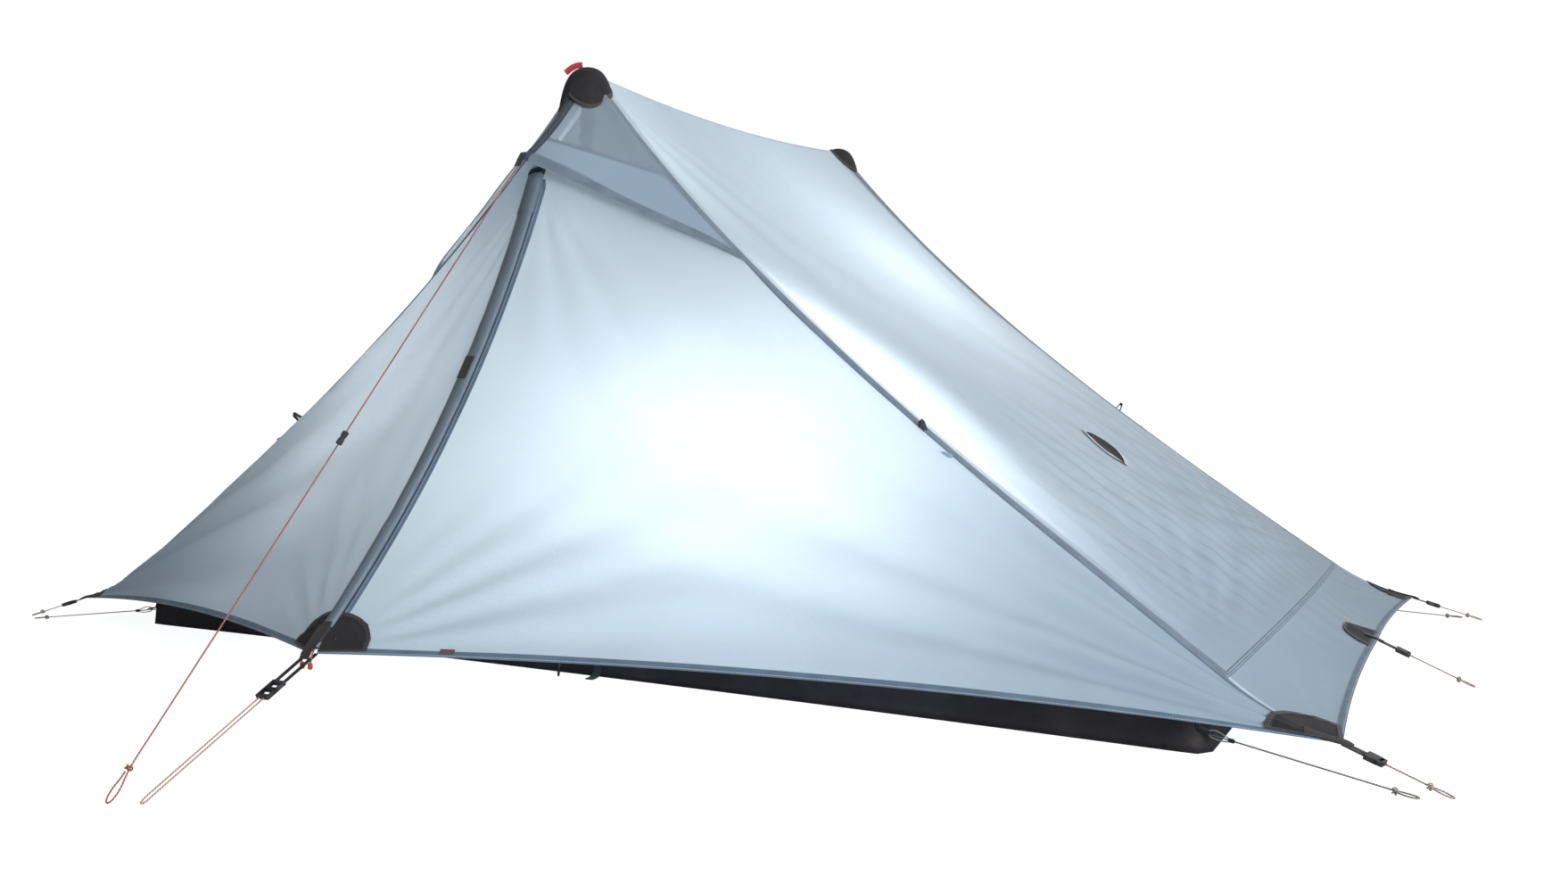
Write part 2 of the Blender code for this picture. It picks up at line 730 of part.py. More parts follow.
def make_sliders():
    """Zip sliders at the closed end, each with its pull."""
    _, last = zip_steps()
    centre, _ = zip_circle()
    length = np.linalg.norm(VESTIBULE - ZIP_TOP)
    place = last - (SLIDER_LENGTH / 2 + ZIP_STOP) / length
    top = ZIP_COIL_THICKNESS / 2 + CLEARANCE + SLIDER_PLATE
    for side_y, depth in ((-1, "near"), (1, "far")):
        point, outward, tangent = zip_curve(place)
        point, outward, tangent = (mirrored(item, 1, side_y) for item in (point, outward, tangent))
        rings = []
        for step in (-SLIDER_LENGTH / 2, SLIDER_LENGTH / 2):
            base = point + tangent * step
            rings.append([base + outward * height + np.array([x, 0, 0]) for x, height in slider_section()])
        pivot = mirrored(centre, 1, side_y)
        made = new_object("zipper_slider_" + depth, loft_mesh("slider", rings), zip_plastic(), pivot)
        start = -SLIDER_LENGTH / 4
        matrix = axes_matrix(point, tangent, outward)
        low = (-PULL_WIDTH / 2, top - PULL_THICKNESS / 4, start)
        high = (PULL_WIDTH / 2, top + PULL_THICKNESS, start + PULL_LENGTH)
        combine(made, helper("pull_" + depth, box_mesh("pull", low, high), matrix), "UNION")


def make_storm_flaps():
    """Strips that cover the zips, sewn to the door that carries the zip."""
    first, last = zip_steps()
    start, end, lean, _ = fold_frame()
    slope = lean[0] / lean[1]
    rise = FLAP_STANDOFF / 2
    flap_start = FLAP_START / np.linalg.norm(VESTIBULE - ZIP_TOP)
    shape = [(ZIP_TAPE, FLAP_STANDOFF), (-ZIP_TAPE, FLAP_STANDOFF), (ZIP_TAPE - FLAP_WIDTH, rise)]
    for side_y, depth in ((-1, "near"), (1, "far")):
        rows = []
        for t in np.linspace(first + flap_start, last, ZIP_STEPS // 2 + 1):
            row = []
            for x, height in shape:
                back = min(0, x + ZIP_TAPE) * slope
                point = zip_frame(t, side_y, -side_y * x, height)
                row.append(point + np.array([0, side_y * back, 0]))
            rows.append(row)
        hinge = mirrored((start + end) / 2, side_y, side_y)
        fabric_sheet("storm_flap_" + depth, [rows], FLAP_FABRIC, canopy_fabric(), hinge)


def floor_outline(inset, height):
    """Rounded outline of the tub, with its long sides drawn in at their middle."""
    half_x = FLOOR_LENGTH / 2 - inset
    half_y = FLOOR_WIDTH / 2 - inset
    radius = TUB_CORNER_RADIUS
    points = []
    for corner in range(4):
        sign_x = 1 if corner in (0, 3) else -1
        sign_y = 1 if corner in (0, 1) else -1
        for share in shares(TUB_CORNER_STEPS):
            turn = math.pi / 2 * (corner + share)
            x = sign_x * (half_x - radius) + radius * math.cos(turn)
            y = sign_y * (half_y - radius) + radius * math.sin(turn)
            points.append((x, y, height))
        if corner in (0, 2):
            for share in shares(TUB_SIDE_STEPS)[1:-1]:
                x = sign_x * (half_x - radius) * (1 - 2 * share)
                points.append((x, sign_y * (half_y - TUB_SIDE_HOLLOW * bow_weight(share)), height))
        else:
            for share in shares(TUB_END_STEPS)[1:-1]:
                points.append((sign_x * half_x, sign_y * (half_y - radius) * (1 - 2 * share), height))
    return points


def make_tub():
    """Bathtub floor: a flat base with walls that lean inwards to the mesh."""
    base = floor_outline(0, 0)
    rings = [[(0, 0, 0)] * len(base), base]
    rings.append(floor_outline(TUB_LEAN * TUB_BEND_LEAN_SHARE, TUB_HEIGHT * TUB_BEND_SHARE))
    rings.append(floor_outline(TUB_LEAN, TUB_HEIGHT))
    closed = [ring + ring[:1] for ring in rings]
    data = grid_mesh("bathtub_floor", [closed])
    made = new_object("bathtub_floor", data, floor_fabric())
    thick = made.modifiers.new("cloth_thickness", "SOLIDIFY")
    thick.thickness = FABRIC
    thick.offset = -1
    thick.use_even_offset = True
    smooth(made)


def mesh_plane_y(height):
    """Distance from the middle of the mesh walls, which lean in towards the ridge."""
    low = FLOOR_WIDTH / 2 - TUB_LEAN - TUB_SIDE_HOLLOW
    high = PEAK[1] - MESH_TOP_INSET
    share = (height - TUB_HEIGHT) / (PEAK_HEIGHT - TUB_HEIGHT)
    return low + (high - low) * share


def mesh_top(u):
    """Top edge of a mesh wall at +X +Y, just under the roof."""
    guess = upper_seam(u)
    v = (guess[1] + mesh_plane_y(guess[2])) / (2 * guess[1])
    return roof_point(u, v) - np.array([0, 0, MESH_DROP])


def tub_edge(x):
    """Top edge of the long side of the tub at this distance from its middle."""
    half_x = FLOOR_LENGTH / 2 - TUB_LEAN
    half_y = FLOOR_WIDTH / 2 - TUB_LEAN
    share = 0.5 - x / (2 * (half_x - TUB_CORNER_RADIUS))
    hollow = TUB_SIDE_HOLLOW * max(0, bow_weight(share))
    lift = FABRIC + CLEARANCE
    return np.array([x, half_y - FABRIC / 2 - hollow, TUB_HEIGHT + lift - FABRIC])


def mesh_door_corners():
    """Corners of the mesh door at +X +Y: zip foot, zip top, hinge end and its foot."""
    top_height = PEAK_HEIGHT - MESH_DOOR_TOP_DROP
    end_x = KINK[0] - MESH_DOOR_SIDE
    end_height = TUB_HEIGHT + MESH_DOOR_RISE
    gap = MESH_DOOR_GAP / 2
    foot = tub_edge(gap)
    end_foot = tub_edge(end_x)
    top = np.array([gap, mesh_plane_y(top_height), top_height])
    lean = (foot[1] - top[1]) / (top[2] - foot[2])
    end = np.array([end_x, end_foot[1] - (end_height - TUB_HEIGHT) * lean, end_height])
    return foot, top, end, end_foot


def mesh_door_hem():
    """Offset from the hinge edge of the mesh door up to the mesh above it."""
    foot, top, end, _ = mesh_door_corners()
    hang = unit(end - top)
    rise = top - foot
    return unit(rise - hang * np.dot(rise, hang)) * MESH_DOOR_GAP


def make_mesh_walls():
    """Mesh hung from the roof to the tub, with a door in half of each side."""
    foot, top, end, end_foot = mesh_door_corners()
    hem = mesh_door_hem()
    hang = end - top
    meeting = top + hem - hang * (top + hem)[0] / hang[0]
    rim = tub_edge(0)
    hinge_share = (meeting[2] - rim[2]) / (mesh_top(0)[2] - rim[2])
    row_shares = [0, hinge_share / 2, hinge_share, 1]
    corner_x = FLOOR_LENGTH / 2 - TUB_CORNER_RADIUS
    end_x = FLOOR_LENGTH / 2 - TUB_LEAN - FABRIC / 2
    wall = []
    for share in shares(MESH_COLUMNS):
        low = tub_edge(corner_x * share)
        high = mesh_top(MESH_END_SHARE * share)
        wall.append([low + (high - low) * row for row in row_shares])
    low, high = wall[-1][0], wall[-1][-1]
    strip = [wall[-1]]
    for share in shares(MESH_COLUMNS)[1:]:
        span = 1 - 2 * share
        foot_x = low[0] if share == 1 else end_x
        bottom = np.array([foot_x, low[1] * span, low[2]])
        v = 0.5 + high[1] * span / (2 * upper_seam(MESH_END_SHARE)[1])
        ceiling = roof_point(MESH_END_SHARE, v) - np.array([0, 0, MESH_DROP])
        strip.append([bottom + (ceiling - bottom) * row for row in row_shares])
    gap = np.array([MESH_DOOR_GAP, 0, 0])
    over = []
    for share in shares(MESH_COLUMNS):
        edge = wall[0][2] + (end + hem + gap - wall[0][2]) * share
        over.append([edge, mesh_top(MESH_END_SHARE * MESH_DOOR_REACH_SHARE * share)])
    over.append([end_foot + 2 * gap, over[-1][1]])
    over.append([low - 2 * gap, high - 2 * gap])
    door = [[foot, top], [end_foot, end]]
    for side, depth in ((-1, "near"), (1, "far")):
        grids = [mirrored(wall, side, side), mirrored(strip, side, side), mirrored(over, -side, side)]
        fabric_sheet("mesh_wall_" + depth, grids, MESH_FABRIC, mesh_fabric())
        hinge = mirrored((top + end) / 2, -side, side)
        fabric_sheet("mesh_door_" + depth, [mirrored(door, -side, side)], MESH_FABRIC, mesh_fabric(), hinge)


def strap_with_lock(name, hem_point, direction, up, paint):
    """Sewn strap whose flat lock holds a guyline; the window is where the line turns."""
    frame = axes_matrix(hem_point, direction, up)
    low = (-STRAP_WIDTH / 2, -STRAP_THICKNESS / 2, STRAP_START)
    high = (STRAP_WIDTH / 2, STRAP_THICKNESS / 2, STRAP_LENGTH + LOCK_BEVEL)
    made = new_object(name, box_mesh(name, low, high), paint)
    made.data.transform(frame)
    end = STRAP_LENGTH + LOCK_LENGTH
    rings = []
    for z, share in ((STRAP_LENGTH, 1), (STRAP_LENGTH + LOCK_LENGTH / 2, 1), (end, LOCK_TIP_SHARE)):
        half = LOCK_WIDTH / 2 * share
        thick = LOCK_THICKNESS / 2
        cut = LOCK_BEVEL
        rings.append([
            (-half, -thick + cut, z), (-half + cut, -thick, z), (half - cut, -thick, z), (half, -thick + cut, z),
            (half, thick - cut, z), (half - cut, thick, z), (-half + cut, thick, z), (-half, thick - cut, z),
        ])
    combine(made, helper(name + "_lock", loft_mesh("lock", rings), frame), "UNION")
    wall = (LOCK_WIDTH - STRAP_WIDTH) / 2
    low = (-STRAP_WIDTH / 2 * LOCK_TIP_SHARE, -LOCK_THICKNESS, end - wall - LOCK_WINDOW)
    high = (STRAP_WIDTH / 2 * LOCK_TIP_SHARE, LOCK_THICKNESS, end - wall)
    combine(made, helper(name + "_window", box_mesh("window", low, high), frame), "DIFFERENCE")


def line_direction(run):
    """Unit direction of a cord's taut run."""
    return unit(np.array(run[1]) - np.array(run[0]))


def make_straps():
    """Straps and locks at the canopy's corners and at the middle of its ends."""
    direction = line_direction(CORNER_LINE_RUN)
    up = np.array([0, 0, 1])
    for side_x, word in ((1, "right"), (-1, "left")):
        for side_y, depth in ((-1, "near"), (1, "far")):
            point = mirrored(CORNER, side_x, side_y)
            along = mirrored(direction, side_x, side_y)
            strap_with_lock("corner_strap_" + depth + "_" + word, point, along, up, webbing())
        along = mirrored(line_direction(END_LINE_RUN), side_x, 1)
        strap_with_lock("end_strap_" + word, mirrored(END_MID, side_x, 1), along, up, webbing())


def make_vestibule_locks():
    """Ladder locks, each held at a vestibule point by two narrow straps."""
    direction = line_direction(VESTIBULE_LINE_OUT)
    for side_y, depth in ((-1, "near"), (1, "far")):
        name = "vestibule_lock_" + depth
        frame = axes_matrix(mirrored(VESTIBULE, 1, side_y), mirrored(direction, 1, side_y), (0, 0, 1))
        low = (-LADDER_WIDTH / 2, -LADDER_THICKNESS / 2, LADDER_REACH)
        high = (LADDER_WIDTH / 2, LADDER_THICKNESS / 2, LADDER_REACH + LADDER_LENGTH)
        made = new_object(name, box_mesh(name, low, high), black_plastic())
        made.data.transform(frame)
        rail = LADDER_BAR / 2
        window = (LADDER_LENGTH - 3 * LADDER_BAR) / 2
        for k in range(2):
            start = LADDER_REACH + LADDER_BAR + k * (window + LADDER_BAR)
            low = (-LADDER_WIDTH / 2 + rail, -LADDER_THICKNESS, start)
            high = (LADDER_WIDTH / 2 - rail, LADDER_THICKNESS, start + window)
            window_name = "%s_window_%d" % (name, k)
            combine(made, helper(window_name, box_mesh("window", low, high), frame), "DIFFERENCE")
        for side in (-1, 1):
            inner = side * (LADDER_WIDTH / 2 - LADDER_ARM)
            outer = side * LADDER_WIDTH / 2
            ends = sorted((inner, outer))
            low = (ends[0], -STRAP_THICKNESS / 2, 0)
            high = (ends[1], STRAP_THICKNESS / 2, LADDER_REACH + LADDER_BAR / 2)
            combine(made, helper("%s_arm_%d" % (name, side), box_mesh("arm", low, high), frame), "UNION")


def taut(run):
    """A straight run, with a point near its end that keeps the bend after it short."""
    start, end = np.array(run, float)
    return [start, end - (end - start) * RUN_END_SHARE, end]


def smooth_route(points):
    """Smooth curve through the points, with ROUTE_STEPS steps to a span.

    At each point it runs as the chord between the point's neighbours does, so a long
    straight run stays straight up to the bend after it.
    """
    known = [Vector(point) for point in points]
    spans = [end - start for start, end in zip(known[:-1], known[1:])]
    slopes = [(before + after).normalized() for before, after in zip(spans[:-1], spans[1:])]
    slopes = [spans[0].normalized(), *slopes, spans[-1].normalized()]
    route = []
    for k, span in enumerate(spans):
        leaving, arriving = slopes[k] * span.length, slopes[k + 1] * span.length
        for step in range(ROUTE_STEPS):
            t = step / ROUTE_STEPS
            bend = (3 * span - 2 * leaving - arriving) * t ** 2
            turn = (leaving + arriving - 2 * span) * t ** 3
            route.append(known[k] + leaving * t + bend + turn)
    route.append(known[-1])
    return route


def cord(name, points, paint):
    """A tube along a smooth curve through the route's points."""
    route = smooth_route(points)
    data = bpy.data.curves.new(name, "CURVE")
    data.dimensions = "3D"
    data.resolution_u = 1
    data.bevel_depth = LINE_RADIUS
    data.bevel_resolution = 2
    data.use_fill_caps = True
    spline = data.splines.new("POLY")
    spline.points.add(len(route) - 1)
    for place, point in zip(spline.points, route):
        place.co = (*point, 1)
    new_object(name, data, paint)


def make_lines():
    """Guylines out to where they meet their stakes."""
    hood = taut(HOOD_LINE_RUN) + HOOD_LINE_LOOP
    out = taut(VESTIBULE_LINE_OUT)
    vestibule = out + VESTIBULE_LINE_LOOP + list(mirrored(out[::-1], -1, 1))
    for side_y, depth in ((-1, "near"), (1, "far")):
        cord("hood_guyline_" + depth, mirrored(hood, 1, side_y), red_line())
        cord("vestibule_line_" + depth, mirrored(vestibule, 1, side_y), red_line())
    for side_x, word in ((1, "right"), (-1, "left")):
        cord("end_guyline_" + word, mirrored(taut(END_LINE_RUN) + END_LINE_LOOP, side_x, 1), red_line())
        for side_y, depth in ((-1, "near"), (1, "far")):
            place = depth + "_" + word
            corner = mirrored(taut(CORNER_LINE_RUN) + CORNER_LINE_LOOP, side_x, side_y)
            cord("corner_guyline_" + place, corner, red_line())
            floor = mirrored(taut(FLOOR_LINE_RUN) + FLOOR_LINE_LOOP, side_x, side_y)
            cord("floor_line_" + place, floor, grey_line())


def turned(name, profile, closed, frame, paint, origin):
    """A lathed piece placed by a matrix."""
    made = new_object(name, lathe_mesh(name, profile, closed), paint, origin)
    made.data.transform(Matrix.Translation(-Vector(origin)) @ frame @ Matrix.Translation(Vector(origin)))
    smooth(made)
    return made


def make_tensioners():
    """Small sleeves that slide along the hood lines."""
    start, end = (np.array(point) for point in HOOD_LINE_RUN)
    bore = LINE_RADIUS + CLEARANCE
    half = TENSIONER_LENGTH / 2
    profile = [
        (bore, -half), (TENSIONER_RADIUS, -half), (TENSIONER_RADIUS, -half / 2), (TENSIONER_WAIST, 0),
        (TENSIONER_RADIUS, half / 2), (TENSIONER_RADIUS, half), (bore, half),
    ]
    for side_y, depth in ((-1, "near"), (1, "far")):
        centre = mirrored(start + (end - start) * TENSIONER_SHARE, 1, side_y)
        frame = axes_matrix(centre, mirrored(end - start, 1, side_y), (1, 0, 0))
        turned("hood_tensioner_" + depth, profile, True, frame, black_plastic(), centre)


def pole_top():
    """Middle of the grip's rounded top, resting up into the peak."""
    roof_in = unit(np.cross(roof_point(0, 0.5) - PEAK, roof_point(1 / ROOF_ROWS, 1) - PEAK))
    seam = upper_seam(1 / ROOF_ROWS) - PEAK
    hood = unit(np.cross(HOOD_TIP - PEAK, seam))
    roof_in = roof_in * np.sign(roof_in[2])
    hood = hood * np.sign(hood[2])
    reach = GRIP_DOME + FABRIC / 2 + CLEARANCE
    drop = reach / roof_in[2]
    back = max(0, (reach - hood[2] * drop) / hood[1])
    return PEAK - np.array([0, back, drop])


def pole_axis():
    """Foot, unit direction and length of a pole up to the middle of its rounded top."""
    run = pole_top() - POLE_FOOT
    length = np.linalg.norm(run)
    return POLE_FOOT, run / length, length


def collar_profile(bore, start, outer):
    """Clamp collar on the lower end of a section."""
    edge = LOCK_BEVEL
    end = start + COLLAR_LENGTH
    return [
        (bore, start), (COLLAR_RADIUS - edge, start), (COLLAR_RADIUS, start + edge),
        (COLLAR_RADIUS, end - edge), (COLLAR_RADIUS - edge, end), (outer, end + edge),
    ]


def add_ears(made, frame, start):
    """Two ears that hold the clamp's lever on its pin side."""
    out = COLLAR_RADIUS + LEVER_BARREL + LEVER_CLEARANCE
    middle = start + COLLAR_LENGTH / 2
    for side in (-1, 1):
        inner = middle + side * (LEVER_HEIGHT / 2 + CLEARANCE)
        ends = sorted((inner, inner + side * EAR_THICKNESS))
        low = (COLLAR_RADIUS - EAR_THICKNESS, -LEVER_BARREL, ends[0])
        high = (out + LEVER_BARREL, LEVER_BARREL, ends[1])
        combine(made, helper("%s_ear_%d" % (made.name, side), box_mesh("ear", low, high), frame), "UNION")


def lever_mesh(name):
    """Curved lever that wraps a collar, with a round barrel on its hinge axis."""
    inner = COLLAR_RADIUS + LEVER_CLEARANCE
    outer = inner + LEVER_THICKNESS
    hinge = COLLAR_RADIUS + LEVER_BARREL + LEVER_CLEARANCE
    wrap = math.radians(LEVER_WRAP_DEG)
    first = LEVER_BARREL * LEVER_START_SHARE / hinge
    angles = [first + (wrap - first) * share for share in shares(LEVER_STEPS)]
    outline = [(outer * math.cos(a), outer * math.sin(a)) for a in angles]
    outline += [(inner * math.cos(a), inner * math.sin(a)) for a in angles[::-1]]
    for share in shares(BARREL_STEPS):
        turn = math.radians(BARREL_START_DEG + BARREL_TURN_DEG * share)
        outline.append((hinge + LEVER_BARREL * math.cos(turn), LEVER_BARREL * math.sin(turn)))
    half = LEVER_HEIGHT / 2
    return loft_mesh(name, [[(x, y, z) for x, y in outline] for z in (-half, half)])


def make_poles():
    """Trekking poles in three sections, each standing handle up under its peak."""
    foot, direction, length = pole_axis()
    middle_radius = LOWER_RADIUS + TUBE_CLEARANCE + TUBE_WALL
    upper_radius = middle_radius + TUBE_CLEARANCE + TUBE_WALL
    lower_end = LOWER_EXPOSED + INSERTION
    middle_end = LOWER_EXPOSED + MIDDLE_EXPOSED + INSERTION
    upper_start = LOWER_EXPOSED + MIDDLE_EXPOSED
    room = TRAVEL + TIP_RADIUS
    edge = LOCK_BEVEL
    ferrule_end = TIP_LENGTH + FERRULE_LENGTH
    basket = TIP_LENGTH + FERRULE_LENGTH / 2
    lower = [
        (0, 0), (TIP_RADIUS, 0), (TIP_RADIUS * TIP_FLARE_SHARE, TIP_LENGTH),
        (LOWER_RADIUS * TIP_CONE_SHARE, basket),
        (BASKET_RADIUS, basket), (BASKET_RADIUS, basket + BASKET_THICKNESS),
        (LOWER_RADIUS, basket + BASKET_THICKNESS), (LOWER_RADIUS, ferrule_end), (LOWER_RADIUS, lower_end),
        (0, lower_end),
    ]
    bore = LOWER_RADIUS + TUBE_CLEARANCE
    middle = [(0, lower_end + room), (bore, lower_end + room)]
    middle += collar_profile(bore, LOWER_EXPOSED, middle_radius)
    middle += [(middle_radius, middle_end), (0, middle_end)]
    bore = middle_radius + TUBE_CLEARANCE
    grip = length - GRIP_LENGTH
    upper = [(0, middle_end + room), (bore, middle_end + room)]
    upper += collar_profile(bore, upper_start, upper_radius)
    upper += [(upper_radius, grip - edge), (GRIP_NECK, grip)]
    upper.append((GRIP_WAIST, grip + GRIP_LENGTH * GRIP_WAIST_SHARE))
    for share, radius in GRIP_SHARES:
        upper.append((GRIP_RADIUS * radius, grip + GRIP_LENGTH * share))
    for turn in GRIP_DOME_TURNS_DEG:
        angle = math.radians(turn)
        upper.append((GRIP_DOME * math.cos(angle), length + GRIP_DOME * math.sin(angle)))
    upper.append((0, length + GRIP_DOME))
    for side_y, depth in ((-1, "near"), (1, "far")):
        base = mirrored(foot, 1, side_y)
        along = mirrored(direction, 1, side_y)
        frame = axes_matrix(base, along, (0, 1, 0))
        turned("pole_lower_" + depth, lower, False, frame, pole_alloy(), base)
        for word, profile, start, paint in (
            ("middle", middle, LOWER_EXPOSED, pole_alloy()), ("upper", upper, upper_start, grip_foam()),
        ):
            place = base + along * start
            made = turned("pole_" + word + "_" + depth, profile, False, frame, paint, place)
            add_ears(made, frame, start)
            hinge = COLLAR_RADIUS + LEVER_BARREL + LEVER_CLEARANCE
            level = start + COLLAR_LENGTH / 2
            centre = frame @ Vector((0, 0, level))
            pin = np.array(frame @ Vector((hinge, 0, level)))
            turned_frame = frame.copy()
            turned_frame.translation = centre
            name = "pole_lever_" + word + "_" + depth
            lever = new_object(name, lever_mesh(name), black_plastic(), pin)
            to_pin = Matrix.Translation(Vector(pin))
            lever.data.transform(to_pin.inverted() @ turned_frame @ to_pin)
            smooth(lever)


make_roofs()
make_doors()
make_hoods()
make_caps()
make_zips()
make_sliders()
make_storm_flaps()
make_tub()
make_mesh_walls()
make_straps()
make_vestibule_locks()
make_lines()
make_tensioners()
make_poles()
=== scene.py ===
"""Looks of the two-pole trekking pole tent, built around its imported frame.

X runs along the sleeping length, Y across the two vestibules and Z up, in metres.
Curves are worked out for the corner at +X and +Y; side signs mirror them.
Near is -Y, where the camera stands, and right is +X.
"""
import math

import bmesh
import bpy
import numpy as np
from mathutils import Matrix, Vector, noise
from mathutils.bvhtree import BVHTree


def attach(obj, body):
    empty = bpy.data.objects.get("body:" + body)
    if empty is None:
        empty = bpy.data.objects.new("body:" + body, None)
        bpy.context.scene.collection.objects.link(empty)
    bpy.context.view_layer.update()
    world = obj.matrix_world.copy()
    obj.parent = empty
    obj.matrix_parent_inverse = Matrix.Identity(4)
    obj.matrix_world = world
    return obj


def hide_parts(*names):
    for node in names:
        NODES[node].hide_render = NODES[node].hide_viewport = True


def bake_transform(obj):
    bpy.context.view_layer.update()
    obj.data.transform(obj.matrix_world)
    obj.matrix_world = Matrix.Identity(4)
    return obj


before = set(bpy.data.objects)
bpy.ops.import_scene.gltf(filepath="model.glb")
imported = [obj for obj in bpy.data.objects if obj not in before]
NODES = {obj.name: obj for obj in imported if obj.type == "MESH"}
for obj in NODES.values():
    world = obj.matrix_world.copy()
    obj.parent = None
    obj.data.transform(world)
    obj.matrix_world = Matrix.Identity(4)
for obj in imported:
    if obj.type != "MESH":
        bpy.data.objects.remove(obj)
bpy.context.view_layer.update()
SIDES = ((1, "right"), (-1, "left"))
DEPTHS = ((-1, "near"), (1, "far"))
ZIP_BODIES = {"near": "storm_door_near_left", "far": "storm_door_far_right"}

# Camera of the photograph
CAMERA_PLACE = (1.7239, -2.9126, 0.6145)
CAMERA_YAW = 28.5513
CAMERA_PITCH = -2.9998
CAMERA_ROLL = -0.3652
CAMERA_LENS = 31.0568
CAMERA_SENSOR = 36.0
CAMERA_CLIP = 0.02

# Studio light: powers in watts, angles in degrees
DOME_AIM = (0.90, 0.12, 0.42)
DOME_START = -0.15
DOME_END = 0.85
DOME_DIM = 0.125
DOME_BRIGHT = 1.10
BACKDROP_GLOW = 1.02
FLOOR_GLOW = 0.92
FLOOR_REACH = 60.0
FLOOR_DROP = 0.0006
SOFTBOX_POWER = 140
SOFTBOX_SIZE = 2.0
SOFTBOX_PLACE = (4.6, -3.6, 1.2)
SOFTBOX_AIM = (0.3, -0.5, 0.5)
INNER_POWER = 16.5
INNER_SIZE = 0.70
INNER_SPREAD = 114
INNER_PLACE = (0.34, -0.50, 0.235)
INNER_AIM = (0.58, -1.12, 0.40)
LEFT_POWER = 11
LEFT_SIZE = 0.45
LEFT_PLACE = (-0.08, -0.14, 0.42)
LEFT_AIM = (-0.42, -0.97, 0.70)
LAMP_POWER = 12
LAMP_SIZE = 0.26
LAMP_PLACE = (0.15, 0.20, 0.60)

# Pitch of the canopy, as in the CAD
PEAK_HEIGHT = 1.250
RIDGE_LENGTH = 1.180
RIDGE_SAG = 0.025
FLY_LENGTH = 3.000
FLY_END_WIDTH = 1.490
CORNER_LIFT = 0.055
SEAM_SAG = 0.060
LOWER_SEAM_SAG = 0.013
SEAM_SKEW_SHARE = 0.30
ROOF_CROWN = 0.030
FOOT_SEAM_BOW = 0.027
FOOT_SEAM_RISE = 0.022
HEM_RISE = 0.030
END_HEM_BOW = 0.010
ZIP_SAG = 0.053
FOLD_SAG = 0.038
DOOR_CROWN = 0.012
HOOD_SEAM_SHARE = 0.335
HOOD_SAG = 0.007
HOOD_SWELL = 0.003
HOOD_SEAM_ROLL = 0.110
DOOR_TOP_SEAM_SHARE = 0.18
HEADER_SEAM_SHARE = 0.329
FOLD_HEM_SHARE = 0.07
FOLD_REACH = 0.035
ZIP_TAPE = 0.009
CLEARANCE = 0.0003

PEAK = np.array([0, RIDGE_LENGTH / 2, PEAK_HEIGHT])
CORNER = np.array([FLY_LENGTH / 2, FLY_END_WIDTH / 2, CORNER_LIFT])
KINK = np.array([1.323, 0.717, 0.133])
END_MID = np.array([1.485, 0, 0.080])
VESTIBULE = np.array([0, 1.360, 0.166])
HOOD_TIP = PEAK + np.array([0, 0.220, -0.210])
DOOR_TOP = PEAK + np.array([0, 0.150, -0.154])
ZIP_TOP = PEAK + np.array([0, 0.167, -0.245])
SIDE_OUTWARD = (0.36, 0.78, 0.52)

# Steps of the grids that stand for cloth
DOOR_TOP_STEPS = 8
DOOR_STEPS = 104
DOOR_COLUMNS = 92
DOOR_RELAX = 70
HEADER_COLUMNS = 12
PANEL_COLUMNS = 40
SEAM_SAMPLES = 400
ROOF_STEPS = 120
FOOT_STEPS = 18
END_COLUMNS = 96
ZIP_EDGE_START_SHARE = 0.5
ZIP_EDGE_EASE = 0.03

# Zip cover: across the zip and height over it, for the flap and for the fixed pocket above it
FLAP_START = 0.070
FLAP_PROFILE = (
    (0.0090, 0.0030), (0.0088, 0.0072), (0.0078, 0.0090), (-0.0010, 0.0095), (-0.0090, 0.0090),
    (-0.0170, 0.0080), (-0.0275, 0.0064), (-0.0296, 0.0056), (-0.0300, 0.0022),
)
FLAP_TOP_GROWTH = 0.22
FLAP_TOP_REACH = 0.30
FLAP_TAPER = 0.42
FLAP_TAPER_START = 0.45
FLAP_TAPER_REACH = 0.40
GARAGE_START = -0.030
GARAGE_EASE = 0.012
GARAGE_HEM = 0.0022
GARAGE_PROFILE = (
    (0.0105, 0.0026), (0.0103, 0.0082), (0.0090, 0.0106), (-0.0010, 0.0110), (-0.0120, 0.0104),
    (-0.0220, 0.0094), (-0.0350, 0.0078), (-0.0368, 0.0068), (-0.0372, 0.0022),
)

# Peak cap, tub and nets
CAP_RADIUS = 0.049
CAP_CREASE_GROWTH = 0.40
CAP_CROWN = 0.0085
CAP_DOME = 0.052
CAP_LIFT = 0.0034
CAP_MELT = 0.003
FLOOR_LENGTH = 2.600
FLOOR_WIDTH = 1.420
TUB_HEIGHT = 0.150
TUB_LEAN = 0.018
TUB_CORNER_RADIUS = 0.028
TUB_SIDE_HOLLOW = 0.020
TUB_SKIN = 0.001
TUB_FLOOR_LIFT = 0.0007
NET_DROP = 0.010
NET_EASE = 0.08

# Small sewn pieces
STRAP_LENGTH = 0.0355
PATCH_LIFT = 0.0030
RIM_LIFT = 0.0037
TAG_LIFT = 0.0022
TAG_RISES = (0.004, 0.010, 0.016, 0.022)
TAG_HEM_SHARES = (0.857, 0.872)
RIBBON_RING = ((-1, -0.6), (-0.92, -1), (0.92, -1), (1, -0.6), (1, 0.6), (0.92, 1), (-0.92, 1), (-1, 0.6))
BARREL = (
    (0.001, 0.05), (0.03, 0.45), (0.10, 0.78), (0.2, 0.95), (0.35, 1), (0.5, 0.94), (0.65, 1), (0.8, 0.95),
    (0.90, 0.78), (0.97, 0.45), (0.999, 0.05),
)

